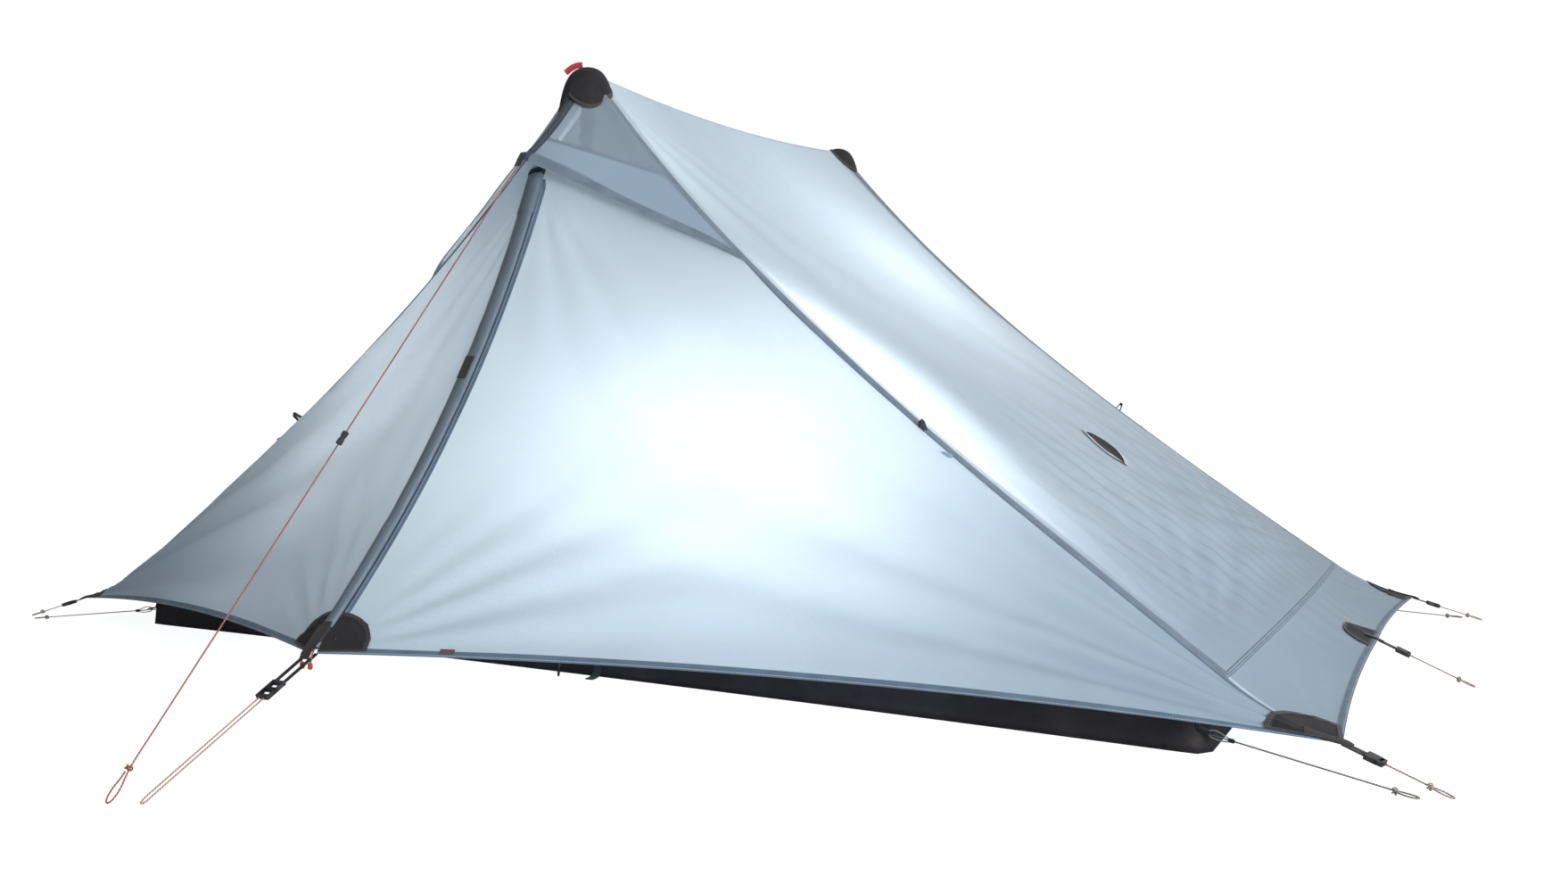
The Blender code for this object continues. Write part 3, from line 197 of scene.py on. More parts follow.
# Folds that fan out: anchor, way, number, spread, height, reach and phase, or a phase for far and near
SIDE_FANS = (
    (CORNER, (-1, 0.35, 0.55), 34, 0.55, 0.0088, 0.46, 0),
    (CORNER, (-1, 0.62, 0.12), 52, 0.35, 0.0054, 0.34, 2),
    (VESTIBULE, (0.8, -0.5, 0.3), 26, 0.6, 0.0046, 0.24, 0),
    (ZIP_TOP, (0.4, 0.2, -1), 22, 0.5, 0.0022, 0.40, 0),
)
ROOF_FANS = (
    (KINK, (-1, -0.45, 0.7), 34, 0.5, 0.0034, 0.36, (0.4, 1.9)),
    (KINK, (-0.3, -1, 0.2), 40, 0.35, 0.0028, 0.30, (0.4, 1.9)),
    (PEAK, (1, -0.3, -0.6), 24, 0.4, 0.0020, 0.40, (0.9, 2.6)),
)
FOOT_FANS = ((CORNER, (-0.8, -1, 0.3), 30, 0.5, 0.0020, 0.12, (0.2, 1.4)),)
# Folds side by side: centre, way across, wavelength, height, size and phases for far and near, or one phase
ROOF_RIPPLES = (
    ((1.13, 0.22, 0.33), (0.10, 1, 0), 0.072, 0.0056, (0.26, 0.26, 0.26), (0.3, 1.1)),
    ((1.16, 0.42, 0.30), (0.22, 1, 0), 0.048, 0.0034, (0.22, 0.20, 0.24), (2.3, 3.1)),
)
FOOT_RIPPLES = ((1.42, 0, 0.11), (0, 1, 0.2), 0.09, 0.0016, (0.2, 0.30, 0.2), 0.5)

# Cords, by the routes of their CAD solids
LINE_RADIUS = 0.0013
KNOT_SIZE = 0.0017
RUN_END_SHARE = 0.04
HOOD_LINE_RUN = [(0, 0.8098, 1.0388), (0, 1.6900, 0.0680)]
HOOD_LINE_LOOP = [
    (0.0035, 1.7040, 0.0525), (0.0075, 1.7150, 0.0404), (0.0065, 1.7260, 0.0283), (0, 1.7305, 0.0233),
    (-0.0065, 1.7260, 0.0283), (-0.0075, 1.7150, 0.0404), (-0.0050, 1.7060, 0.0503),
    (-0.0042, 1.6980, 0.0592),
]
VESTIBULE_LINE_OUT = [(0.0050, 1.4638, 0.1144), (0.0050, 1.6600, 0.0170)]
VESTIBULE_LINE_LOOP = [
    (0.0049, 1.6680, 0.0127), (0.0036, 1.6745, 0.0092), (0, 1.6775, 0.0076),
    (-0.0036, 1.6745, 0.0092), (-0.0049, 1.6680, 0.0127),
]
CORNER_LINE_RUN = [(1.5592, 0.7613, 0.0358), (1.6200, 0.7781, 0.0161)]
CORNER_LINE_LOOP = [
    (1.6290, 0.7765, 0.0132), (1.6400, 0.7775, 0.0097), (1.6500, 0.7820, 0.0064), (1.6530, 0.7875, 0.0054),
    (1.6480, 0.7915, 0.0070), (1.6370, 0.7910, 0.0106), (1.6290, 0.7870, 0.0132), (1.6220, 0.7835, 0.0155),
]
END_LINE_RUN = [(1.5438, 0, 0.0540), (1.6300, 0, 0.0159)]
END_LINE_LOOP = [
    (1.6380, 0.0030, 0.0124), (1.6480, 0.0070, 0.0080), (1.6560, 0.0050, 0.0045), (1.6585, 0, 0.0034),
    (1.6560, -0.0050, 0.0045), (1.6480, -0.0070, 0.0080), (1.6380, -0.0050, 0.0124),
    (1.6310, -0.0044, 0.0155),
]
FLOOR_LINE_RUN = [(1.2798, 0.6980, 0.0360), (1.5750, 0.7955, 0.0080)]
FLOOR_LINE_LOOP = [
    (1.5860, 0.7960, 0.0070), (1.5970, 0.7985, 0.0060), (1.6060, 0.8035, 0.0052), (1.6085, 0.8095, 0.0050),
    (1.6030, 0.8130, 0.0055), (1.5920, 0.8110, 0.0065), (1.5840, 0.8070, 0.0072), (1.5770, 0.8030, 0.0078),
]
# Shock cord loop, by its distance out along the floor line and its height over it
SHOCK_LOOP = (
    (0.016, 0.0045), (0.024, 0.0080), (0.034, 0.0078), (0.044, 0.0048), (0.052, 0.0022), (0.056, 0.0000),
    (0.050, -0.0030), (0.040, -0.0052), (0.028, -0.0050), (0.018, -0.0030), (0.016, 0.0045),
)


# Vectors
def unit(vector):
    vector = np.asarray(vector, float)
    return vector / np.linalg.norm(vector)


def unit_rows(vectors):
    return vectors / np.maximum(np.linalg.norm(vectors, axis=-1, keepdims=True), 1e-9)


def mirrored(points, side_x, side_y):
    """Points of the +X +Y corner carried to the corner with these signs."""
    return np.asarray(points, float) * np.array([side_x, side_y, 1])


def above(point, rise):
    return np.asarray(point, float) + np.array([0, 0, rise])


def bow_weight(t, skew=0.0):
    """A parabola that is 1 near the middle of an edge and 0 at its ends."""
    return 4 * t * (1 - t) * (1 - skew * (2 * t - 1))


def run_lengths(line):
    """Distance from the start of a polyline to each of its points."""
    return np.concatenate([[0], np.cumsum(np.linalg.norm(np.diff(line, axis=0), axis=-1))])


def way_of(run):
    return unit(np.array(run[1]) - np.array(run[0]))


def make_camera():
    """Camera at the photograph's place and angle, from its yaw, pitch and roll."""
    data = bpy.data.cameras.new("photo_camera")
    data.lens = CAMERA_LENS
    data.sensor_width = CAMERA_SENSOR
    data.clip_start = CAMERA_CLIP
    camera = bpy.data.objects.new("photo_camera", data)
    yaw, pitch, roll = (math.radians(a) for a in (CAMERA_YAW, CAMERA_PITCH, CAMERA_ROLL))
    forward = Vector((-math.sin(yaw) * math.cos(pitch), math.cos(yaw) * math.cos(pitch), math.sin(pitch)))
    level = forward.cross(Vector((0, 0, 1))).normalized()
    upright = level.cross(forward)
    right = level * math.cos(roll) + upright * math.sin(roll)
    up = upright * math.cos(roll) - level * math.sin(roll)
    turned_frame = Matrix((right, up, -forward)).transposed().to_4x4()
    turned_frame.translation = Vector(CAMERA_PLACE)
    camera.matrix_world = turned_frame
    bpy.context.scene.collection.objects.link(camera)
    bpy.context.scene.camera = camera


# Materials
class Nodes:
    """A node tree under construction, with short ways to add and join nodes."""

    def __init__(self, owner):
        owner.use_nodes = True
        self.tree = owner.node_tree

    def fill(self, made, sockets):
        """Join or set a node's sockets, by name or number."""
        for key, value in sockets.items():
            if isinstance(value, bpy.types.NodeSocket):
                self.tree.links.new(value, made.inputs[key])
            else:
                made.inputs[key].default_value = value

    def node(self, kind, sockets=(), **settings):
        made = self.tree.nodes.new("ShaderNode" + kind)
        for key, value in settings.items():
            setattr(made, key, value)
        self.fill(made, dict(sockets))
        return made

    def coordinates(self, word):
        return self.node("TexCoord").outputs[word]

    def split(self, vector):
        return self.node("SeparateXYZ", {0: vector}).outputs

    def math(self, operation, first, second=0.0, clamp=False):
        return self.node("Math", {0: first, 1: second}, operation=operation, use_clamp=clamp).outputs[0]

    def noise(self, vector, scale, detail=2.0, roughness=0.5):
        sockets = {"Vector": vector, "Scale": scale, "Detail": detail, "Roughness": roughness}
        return self.node("TexNoise", sockets).outputs["Fac"]

    def blend(self, share, first, second):
        return self.node("Mix", {0: share, 6: first, 7: second}, data_type="RGBA").outputs[2]

    def ramp(self, share, low, high, low_out=0.0, high_out=1.0, **settings):
        sockets = {0: share, 1: low, 2: high, 3: low_out, 4: high_out}
        return self.node("MapRange", sockets, **settings).outputs[0]

    def stripes(self, along, period, width_share):
        """1 on thin lines at this spacing and 0 between them."""
        return self.math("LESS_THAN", self.math("FRACT", self.math("DIVIDE", along, period)), width_share)

    def ripstop(self, metres, period):
        """1 on the thicker threads that cross at this spacing."""
        across, along, _ = self.split(metres)
        return self.math("MAXIMUM", self.stripes(across, period, 0.10), self.stripes(along, period, 0.10))

    def bump(self, height, distance, strength=1.0, below=None):
        sockets = {"Height": height, "Distance": distance, "Strength": strength}
        if below is not None:
            sockets["Normal"] = below
        return self.node("Bump", sockets).outputs[0]

    def mix_shaders(self, share, first, second):
        return self.node("MixShader", {0: share, 1: first.outputs[0], 2: second.outputs[0]})


class Paint(Nodes):
    """A material whose shader's sockets are set by name."""

    def __init__(self, name):
        self.material = bpy.data.materials.new(name)
        super().__init__(self.material)
        self.shader = self.tree.nodes["Principled BSDF"]

    def shade(self, sockets):
        self.fill(self.shader, sockets)
        return self.material

    def show(self, surface):
        self.fill(self.tree.nodes["Material Output"], {"Surface": surface.outputs[0]})
        return self.material


def colour(red, green, blue):
    return (red, green, blue, 1.0)


def shifted(tint, factor, lift=0.0):
    """A darker or lighter colour, by one factor or by one for each channel."""
    return colour(*(np.array(tint[:3]) * factor + lift))


def canopy_paint(name, tint, glow, share, see_through=0.0):
    """Thin coated ripstop cloth that glows with the light behind it, with painted shade that darkens it
    towards its ends and its foot.
    """
    paint = Paint(name)
    metres, place = paint.coordinates("UV"), paint.coordinates("Object")
    grid = paint.ripstop(metres, 0.0055)
    cloudy = paint.noise(place, 2.2, 3.0)
    creased = paint.noise(place, 16.0, 4.0, 0.6)
    weave = paint.noise(metres, 900.0, 1.0)
    along, _, up = paint.split(place)
    # Painted shade: ends darkens the cloth along X towards the ends and low darkens it near the bottom,
    # standing in for less light through the cloth there
    ends = paint.ramp(paint.math("ABSOLUTE", along), 0.55, 1.50, 0.0, 0.25)
    low = paint.ramp(up, 0.10, 0.42, 0.15, 0.0)
    tone = paint.math("ADD", paint.ramp(cloudy, 0.30, 0.70, 0.0, 0.08), paint.math("MULTIPLY", grid, 0.05))
    # shade mixes that painted shade with random tone and slightly darker ripstop threads
    shade = paint.math("ADD", paint.math("ADD", ends, low), tone, clamp=True)
    painted_shade_tint = (0.22, 0.36, 0.50)
    fine = paint.bump(weave, 0.0002, 0.5)
    lines = paint.bump(grid, 0.00015, 0.5, fine)
    crinkle = paint.bump(creased, 0.0035, 0.55, lines)
    paint.shade({
        "Base Color": paint.blend(shade, tint, shifted(tint, painted_shade_tint)), "Normal": crinkle,
        "Roughness": paint.ramp(creased, 0.3, 0.7, 0.42, 0.58),
        "Sheen Weight": 0.12, "Sheen Roughness": 0.45, "Specular IOR Level": 0.35,
    })
    # The translucent colour takes the same painted shade
    glow = paint.blend(shade, glow, shifted(glow, painted_shade_tint))
    shine = paint.node("BsdfTranslucent", {"Color": glow, "Normal": crinkle})
    mixed = paint.mix_shaders(share, paint.shader, shine)
    if see_through:
        mixed = paint.mix_shaders(see_through, mixed, paint.node("BsdfTransparent"))
    return paint.show(mixed)


def tape_paint(name, tint, stitch, width, rows=(0.18, 0.82)):
    """Folded cloth edge with rows of lock stitches, laid out by metres across and along."""
    paint = Paint(name)
    metres, place = paint.coordinates("UV"), paint.coordinates("Object")
    across, along, _ = paint.split(metres)
    dashes = paint.stripes(along, 0.0045, 0.68)
    threads = None
    for row in rows:
        off = paint.math("ABSOLUTE", paint.math("SUBTRACT", across, row * width))
        near = paint.math("LESS_THAN", off, 0.0006)
        threads = near if threads is None else paint.math("MAXIMUM", threads, near)
    sewn = paint.math("MULTIPLY", threads, dashes)
    cloudy = paint.noise(place, 30.0, 3.0)
    weave = paint.noise(metres, 1100.0, 1.0)
    cloth_tone = paint.blend(paint.ramp(cloudy, 0.35, 0.65, 0.0, 0.7), tint, shifted(tint, 0.72))
    fine = paint.bump(weave, 0.0003, 0.6)
    pucker = paint.bump(cloudy, 0.0015, 0.6, fine)
    return paint.shade({
        "Base Color": paint.blend(sewn, cloth_tone, stitch), "Normal": paint.bump(sewn, 0.0004, 0.8, pucker),
        "Roughness": paint.ramp(cloudy, 0.3, 0.7, 0.5, 0.68), "Sheen Weight": 0.10,
    })


def coated_paint(name, tint, worn, gloss=0.42):
    """Dark coated cloth with a fine plain weave and rubbed, dusty high places."""
    paint = Paint(name)
    metres, place = paint.coordinates("UV"), paint.coordinates("Object")
    grid = paint.ripstop(metres, 0.0050)
    cloudy = paint.noise(place, 7.0, 4.0, 0.6)
    creased = paint.noise(place, 26.0, 4.0, 0.65)
    weave = paint.noise(metres, 900.0, 1.0)
    rubbed = paint.ramp(cloudy, 0.42, 0.75, 0.0, 0.65)
    tone = paint.math("ADD", rubbed, paint.math("MULTIPLY", grid, 0.12), clamp=True)
    return paint.shade({
        "Base Color": paint.blend(tone, tint, worn),
        "Normal": paint.bump(creased, 0.003, 0.6, paint.bump(weave, 0.0002, 0.6)),
        "Roughness": paint.ramp(creased, 0.3, 0.7, gloss, gloss + 0.2),
        "Sheen Weight": 0.04, "Specular IOR Level": 0.22,
    })


def net_paint(name, tint):
    """Fine mosquito netting, mostly holes."""
    paint = Paint(name)
    place = paint.coordinates("Object")
    x, y, z = paint.split(place)
    slanted = paint.stripes(paint.math("ADD", x, y), 0.0016, 0.34)
    cross = paint.math("MAXIMUM", slanted, paint.stripes(z, 0.0016, 0.34))
    cloudy = paint.noise(place, 9.0, 3.0)
    paint.shade({"Base Color": paint.blend(cloudy, tint, shifted(tint, 1.8, 0.01)), "Roughness": 0.7})
    cover = paint.ramp(cross, 0.0, 1.0, 0.10, 0.85)
    return paint.show(paint.mix_shaders(cover, paint.node("BsdfTransparent"), paint.shader))


def webbing_paint(name, tint):
    """Woven nylon webbing with ribs across it."""
    paint = Paint(name)
    wave = {"Vector": paint.coordinates("UV"), "Scale": 190.0, "Distortion": 1.2, "Detail": 1.0}
    ribs = paint.node("TexWave", wave, bands_direction="Y").outputs["Fac"]
    cloudy = paint.noise(paint.coordinates("Object"), 60.0, 3.0)
    worn = paint.math("MULTIPLY", ribs, cloudy)
    return paint.shade({
        "Base Color": paint.blend(worn, tint, shifted(tint, 2.4, 0.012)),
        "Normal": paint.bump(ribs, 0.0004, 0.8),
        "Roughness": paint.ramp(cloudy, 0.3, 0.7, 0.55, 0.75), "Sheen Weight": 0.15,
    })


def plastic_paint(name, tint):
    """Moulded acetal with a faint grain and scuffed, lighter edges."""
    paint = Paint(name)
    place = paint.coordinates("Object")
    grain = paint.noise(place, 900.0, 2.0)
    scuffs = paint.noise(place, 70.0, 4.0, 0.65)
    edge = paint.node("NewGeometry").outputs["Pointiness"]
    worn = paint.math("MULTIPLY", paint.ramp(edge, 0.52, 0.62), paint.ramp(scuffs, 0.4, 0.65))
    return paint.shade({
        "Base Color": paint.blend(worn, tint, shifted(tint, 3.0, 0.05)),
        "Roughness": paint.ramp(scuffs, 0.3, 0.7, 0.32, 0.5), "Normal": paint.bump(grain, 0.00008, 0.5),
    })


def cord_paint(name, tint, tracer, tracer_share):
    """Braided cord: slanted strands round it, some of them in the tracer colour."""
    paint = Paint(name)
    around, along, _ = paint.split(paint.coordinates("UV"))
    turn = paint.math("MULTIPLY", paint.math("DIVIDE", around, 2 * math.pi * LINE_RADIUS), 2.0)
    step = paint.math("DIVIDE", along, 0.0048)
    left = paint.math("FRACT", paint.math("ADD", turn, step))
    right = paint.math("FRACT", paint.math("SUBTRACT", turn, step))
    flecks = paint.math("LESS_THAN", left, tracer_share)
    ridges = paint.math("MULTIPLY", paint.math("PINGPONG", left, 0.5), paint.math("PINGPONG", right, 0.5))
    fuzzy = paint.noise(paint.coordinates("Object"), 400.0, 2.0)
    strands = paint.blend(fuzzy, shifted(tint, 0.6), tint)
    return paint.shade({
        "Base Color": paint.blend(flecks, strands, tracer), "Normal": paint.bump(ridges, 0.0005, 0.8),
        "Roughness": paint.ramp(fuzzy, 0.3, 0.7, 0.55, 0.75), "Sheen Weight": 0.15,
    })


def alloy_paint(name, tint):
    """Anodised tube, finely drawn along its length, with scratches."""
    paint = Paint(name)
    place = paint.coordinates("Object")
    drawn = paint.node("Mapping", {"Vector": place, "Scale": (900.0, 900.0, 6.0)}).outputs[0]
    lines = paint.noise(drawn, 1.0, 2.0)
    worn = paint.ramp(paint.noise(place, 45.0, 4.0, 0.7), 0.66, 0.72)
    return paint.shade({
        "Base Color": paint.blend(worn, tint, colour(0.55, 0.56, 0.58)), "Metallic": 0.9,
        "Roughness": paint.ramp(lines, 0.3, 0.7, 0.25, 0.42), "Normal": paint.bump(lines, 0.00005, 0.5),
    })


def foam_paint(name, tint):
    """Closed-cell foam grip with fine pores."""
    paint = Paint(name)
    place = paint.coordinates("Object")
    pores = paint.node("TexVoronoi", {"Vector": place, "Scale": 700.0}).outputs["Distance"]
    cloudy = paint.noise(place, 40.0, 3.0)
    return paint.shade({
        "Base Color": paint.blend(paint.ramp(cloudy, 0.4, 0.7), tint, shifted(tint, 2.2, 0.01)),
        "Roughness": paint.ramp(cloudy, 0.3, 0.7, 0.75, 0.92), "Normal": paint.bump(pores, 0.0003, 0.6),
    })


PAINTS = {
    "canopy": canopy_paint("canopy_ripstop", colour(0.66, 0.79, 0.90), colour(0.78, 0.90, 0.98), 0.42),
    # The hood's cloth is the canopy's, given a darker tint as painted shade
    "hood": canopy_paint("hood_ripstop_painted_shade", colour(0.38, 0.48, 0.58), colour(0.45, 0.56, 0.66), 0.36, 0.30),
    "hood_hem": tape_paint(
        "hood_hem", colour(0.15, 0.21, 0.275), colour(0.30, 0.37, 0.43), 0.031, (0.05, 0.93)),
    "flap_tape": tape_paint(
        "flap_tape", colour(0.17, 0.23, 0.29), colour(0.32, 0.38, 0.43), 0.023, (0.06, 0.92)),
    "flap": canopy_paint("flap_ripstop", colour(0.22, 0.29, 0.36), colour(0.30, 0.38, 0.45), 0.30),
    "seam": tape_paint("felled_seam", colour(0.13, 0.20, 0.28), colour(0.42, 0.52, 0.60), 0.012),
    "hem": tape_paint("rolled_hem", colour(0.10, 0.165, 0.24), colour(0.38, 0.47, 0.55), 0.016),
    "roof_tape": tape_paint("roof_tape", colour(0.46, 0.58, 0.69), colour(0.62, 0.72, 0.80), 0.014, (0.90,)),
    "patch_rim": tape_paint(
        "patch_rim", colour(0.018, 0.017, 0.020), colour(0.075, 0.072, 0.078), 0.010, (0.35, 0.65)),
    "pale_rim": tape_paint("pale_rim", colour(0.50, 0.60, 0.68), colour(0.70, 0.76, 0.80), 0.006, (0.5,)),
    "tag": webbing_paint("brown_tag", colour(0.085, 0.040, 0.032)),
    "pale_plastic": plastic_paint("pale_blue_acetal", colour(0.28, 0.42, 0.52)),
    "shock_cord": cord_paint("shock_cord", colour(0.30, 0.30, 0.29), colour(0.62, 0.62, 0.60), 0.4),
    "piping": tape_paint("dark_piping", colour(0.030, 0.042, 0.065), colour(0.10, 0.12, 0.15), 0.008),
    "navy": coated_paint("navy_cloth", colour(0.020, 0.030, 0.045), colour(0.045, 0.060, 0.082), 0.55),
    "edge_tape": tape_paint("edge_tape", colour(0.15, 0.21, 0.28), colour(0.38, 0.48, 0.56), 0.020, (0.90,)),
    "patch": coated_paint("patch_cloth", colour(0.017, 0.016, 0.020), colour(0.036, 0.034, 0.038), 0.60),
    "floor": coated_paint("tub_cloth", colour(0.026, 0.023, 0.028), colour(0.056, 0.051, 0.058)),
    "net": net_paint("fine_net", colour(0.035, 0.037, 0.042)),
    "webbing": webbing_paint("black_webbing", colour(0.012, 0.012, 0.014)),
    "red_webbing": webbing_paint("red_webbing", colour(0.42, 0.035, 0.030)),
    "plastic": plastic_paint("black_acetal", colour(0.012, 0.012, 0.014)),
    "zip": plastic_paint("zip_coil", colour(0.050, 0.065, 0.085)),
    "red_line": cord_paint("red_guyline", colour(0.33, 0.050, 0.040), colour(0.55, 0.36, 0.32), 0.24),
    "pale_line": cord_paint("pale_guyline", colour(0.36, 0.13, 0.10), colour(0.62, 0.52, 0.46), 0.45),
    "grey_line": cord_paint("grey_guyline", colour(0.17, 0.17, 0.15), colour(0.45, 0.45, 0.42), 0.30),
    "alloy": alloy_paint("anodised_alloy", colour(0.06, 0.065, 0.075)),
    "foam": foam_paint("grip_foam_black", colour(0.020, 0.020, 0.022)),
}
# Paints of the CAD nodes that stay, by how their names start; the others are canopy
NODE_PAINTS = (
    ("pole_lower", "alloy"), ("pole_middle", "alloy"), ("pole_upper", "foam"), ("pole_lever", "plastic"),
    ("zipper", "zip"), ("vestibule_lock", "plastic"), ("hood_tensioner", "plastic"),
    ("corner_strap", "webbing"), ("end_strap", "webbing"), ("mesh", "net"), ("bathtub_floor", "floor"),
    ("peak_cap", "patch"),
)


def repaint():
    """CAD nodes get their procedural material, and the locks on the straps their own."""
    for name, made in NODES.items():
        paint = next((paint for start, paint in NODE_PAINTS if name.startswith(start)), "canopy")
        made.data.materials.clear()
        made.data.materials.append(PAINTS[paint])
        if paint == "webbing":
            made.data.materials.append(PAINTS["plastic"])
            start = END_MID if name.startswith("end") else CORNER
            for face in made.data.polygons:
                away = np.abs(face.center) - start
                face.material_index = int(np.linalg.norm(away) > STRAP_LENGTH)


# Meshes
def mesh_of(name, points, faces, uv):
    data = bpy.data.meshes.new(name)
    data.from_pydata(points.reshape(-1, 3).tolist(), [], faces)
    layer = data.uv_layers.new(name="metres")
    layer.data.foreach_set("uv", np.asarray(uv, float).ravel())
    data.shade_smooth()
    return data


def placed(name, data, paint, path):
    """A piece with its paint, attached to one body; a path of (body, body, start, end) leaves it on no body,
    with its transform baked.
    """
    made = bpy.data.objects.new(name, data)
    data.materials.append(PAINTS[paint])
    bpy.context.scene.collection.objects.link(made)
    if isinstance(path, str):
        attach(made, path)
    else:
        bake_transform(made)
    return made


def grid_faces(points):
    rows, columns = points.shape[:2]
    index = np.arange(rows * columns).reshape(rows, columns)
    return np.stack([index[:-1, :-1], index[:-1, 1:], index[1:, 1:], index[1:, :-1]], -1).reshape(-1, 4)


def grid_normals(points):
    """Unit normals of a grid by its rows and columns, and whether they face away from the tent's middle."""
    normal = unit_rows(np.cross(np.gradient(points, axis=0), np.gradient(points, axis=1)))
    return normal, (normal * above(points, -0.2)).sum() >= 0


def outward_normals(points):
    normal, outward = grid_normals(points)
    return normal if outward else -normal


def grid_data(name, points, uv):
    """Mesh of a grid of points with its UVs in metres, facing away from the tent's middle."""
    faces = grid_faces(points)
    if not grid_normals(points)[1]:
        faces = faces[:, ::-1]
    return mesh_of(name, points, faces.tolist(), uv.reshape(-1, 2)[faces.reshape(-1)])


def metres_of(points):
    """UVs in metres: run along the rows from their middle, and down the middle column."""
    steps = np.linalg.norm(np.diff(points, axis=1), axis=-1)
    along = np.concatenate([np.zeros((len(points), 1)), np.cumsum(steps, 1)], 1)
    middle = points.shape[1] // 2
    along = along - along[:, middle:middle + 1]
    return np.stack(np.broadcast_arrays(along, run_lengths(points[:, middle])[:, None]), -1)


def cloth(name, points, paint, path):
    return placed(name, grid_data(name, points, metres_of(points)), paint, path)


def relaxed(points, rounds):
    """The grid pulled taut between its fixed edges, as cloth under even tension."""
    points = points.copy()
    for _ in range(rounds):
        middle = (points[:-2, 1:-1] + points[2:, 1:-1] + points[1:-1, :-2] + points[1:-1, 2:]) / 4
        points[1:-1, 1:-1] = middle
    return points


def edge_lines(points, edge):
    """Lines of the grid that run inwards from one of its edges: first, last, start or end."""
    if edge in ("first", "last"):
        return points[::1 if edge == "first" else -1].transpose(1, 0, 2)
    return points[:, ::1 if edge == "start" else -1]


def along_line(line, distances):
    """Points of a polyline at these distances from its start."""
    reach = run_lengths(line)
    return np.stack([np.interp(distances, reach, line[:, k]) for k in range(3)], -1)


def strip_uv(strip):
    """UVs of a strip in metres: u across it from 0, and v along it."""
    across = np.linalg.norm(np.diff(strip, axis=1), axis=-1).mean(0)
    across = np.concatenate([[0], np.cumsum(across)])
    return np.stack(np.broadcast_arrays(across[None, :], run_lengths(strip[:, 0])[:, None]), -1)


def sewn_bands(suffix, path, rows):
    """Bands raised along their middle, from rows of name, grid, edge, width, lift and paint."""
    made = []
    shares = np.linspace(0, 1, 5)
    rise = 0.2 + 0.8 * np.sqrt(bow_weight(shares))[:, None]
    for name, points, edge, width, lift, paint in rows:
        lines = edge_lines(points, edge)
        raised = edge_lines(points + outward_normals(points) * lift, edge)
        strip = []
        for line, high in zip(lines, raised):
            flat = along_line(line, shares * width)
            strip.append(flat + (along_line(high, shares * width) - flat) * rise)
        strip = np.array(strip)
        data = grid_data(name + suffix, strip, strip_uv(strip))
        made.append(placed(name + suffix, data, paint, path))
    return made


def surface_of(*grids):
    """Search tree over the faces of one or more grids of points."""
    places, faces = [], []
    for points in grids:
        faces += (grid_faces(points) + len(places)).tolist()
        places += points.reshape(-1, 3).tolist()
    return BVHTree.FromPolygons(places, faces)


def laid_on(surface, targets, outward, lift):
    """The targets moved to the nearest places on a surface, raised to its outer side."""
    grid = np.empty(targets.shape)
    for index in np.ndindex(targets.shape[:2]):
        place, normal, _, _ = surface.find_nearest(Vector(targets[index]))
        if normal.dot(Vector(outward)) < 0:
            normal = -normal
        grid[index] = np.array(place) + np.array(normal) * lift
    return grid


def applique(name, surface, centre, outline, outward, path, rim_paint="patch_rim"):
    """A patch sewn on a surface: rows of places from its centre to its outline, with a stitched rim."""
    centre = np.asarray(centre, float)
    spokes = np.asarray(outline, float) - centre
    layers = (
        ("", np.linspace(0.02, 1, 12), PATCH_LIFT, "patch"),
        ("_rim", np.linspace(0.86, 1.02, 5), RIM_LIFT, rim_paint),
    )
    made = []
    for suffix, shares, lift, paint in layers:
        targets = centre + shares[:, None, None] * spokes[None]
        grid = laid_on(surface, targets, outward, lift)
        if suffix:
            uv = strip_uv(grid.transpose(1, 0, 2)).transpose(1, 0, 2)
        else:
            turns = np.linspace(0, 2 * math.pi, len(spokes))
            reach = np.linalg.norm(targets - centre, axis=-1)
            uv = np.stack([reach * np.cos(turns), reach * np.sin(turns)], -1)
        made.append(placed(name + suffix, grid_data(name + suffix, grid, uv), paint, path))
    return made


def oval_outline(centre, along, across, last_turn):
    return np.array([centre + np.asarray(along) * math.cos(turn) + np.asarray(across) * math.sin(turn)
                     for turn in np.linspace(0, last_turn, 48)])


def smooth_route(points, steps):
    """Smooth curve through the points, with this many steps to a span, as in the CAD."""
    known = [Vector(point) for point in points]
    spans = [end - start for start, end in zip(known[:-1], known[1:])]
    slopes = [(before + after).normalized() for before, after in zip(spans[:-1], spans[1:])]
    slopes = [spans[0].normalized(), *slopes, spans[-1].normalized()]
    route = []
    for k, span in enumerate(spans):
        leaving, arriving = slopes[k] * span.length, slopes[k + 1] * span.length
        for step in range(steps):
            t = step / steps
            bend = (3 * span - 2 * leaving - arriving) * t ** 2
            turn = (leaving + arriving - 2 * span) * t ** 3
            route.append(known[k] + leaving * t + bend + turn)
    route.append(known[-1])
    return np.array(route)


def swept(name, rings, around, route):
    """Closed mesh through rings of points along a route, with UVs in metres round it and along it."""
    lengths = run_lengths(route)
    index = np.arange(rings.shape[0] * rings.shape[1]).reshape(rings.shape[:2])
    following = np.roll(index, -1, axis=1)
    faces = np.stack([index[:-1], following[:-1], following[1:], index[1:]], -1).reshape(-1, 4).tolist()
    uv = []
    for low, high in zip(lengths[:-1], lengths[1:]):
        for left, right in zip(around[:-1], around[1:]):
            uv += [(left, low), (right, low), (right, high), (left, high)]
    for ring, length in ((index[0][::-1], lengths[0]), (index[-1], lengths[-1])):
        faces.append(ring.tolist())
        uv += [(place, length) for place in around[:-1]]
    return mesh_of(name, rings, faces, uv)


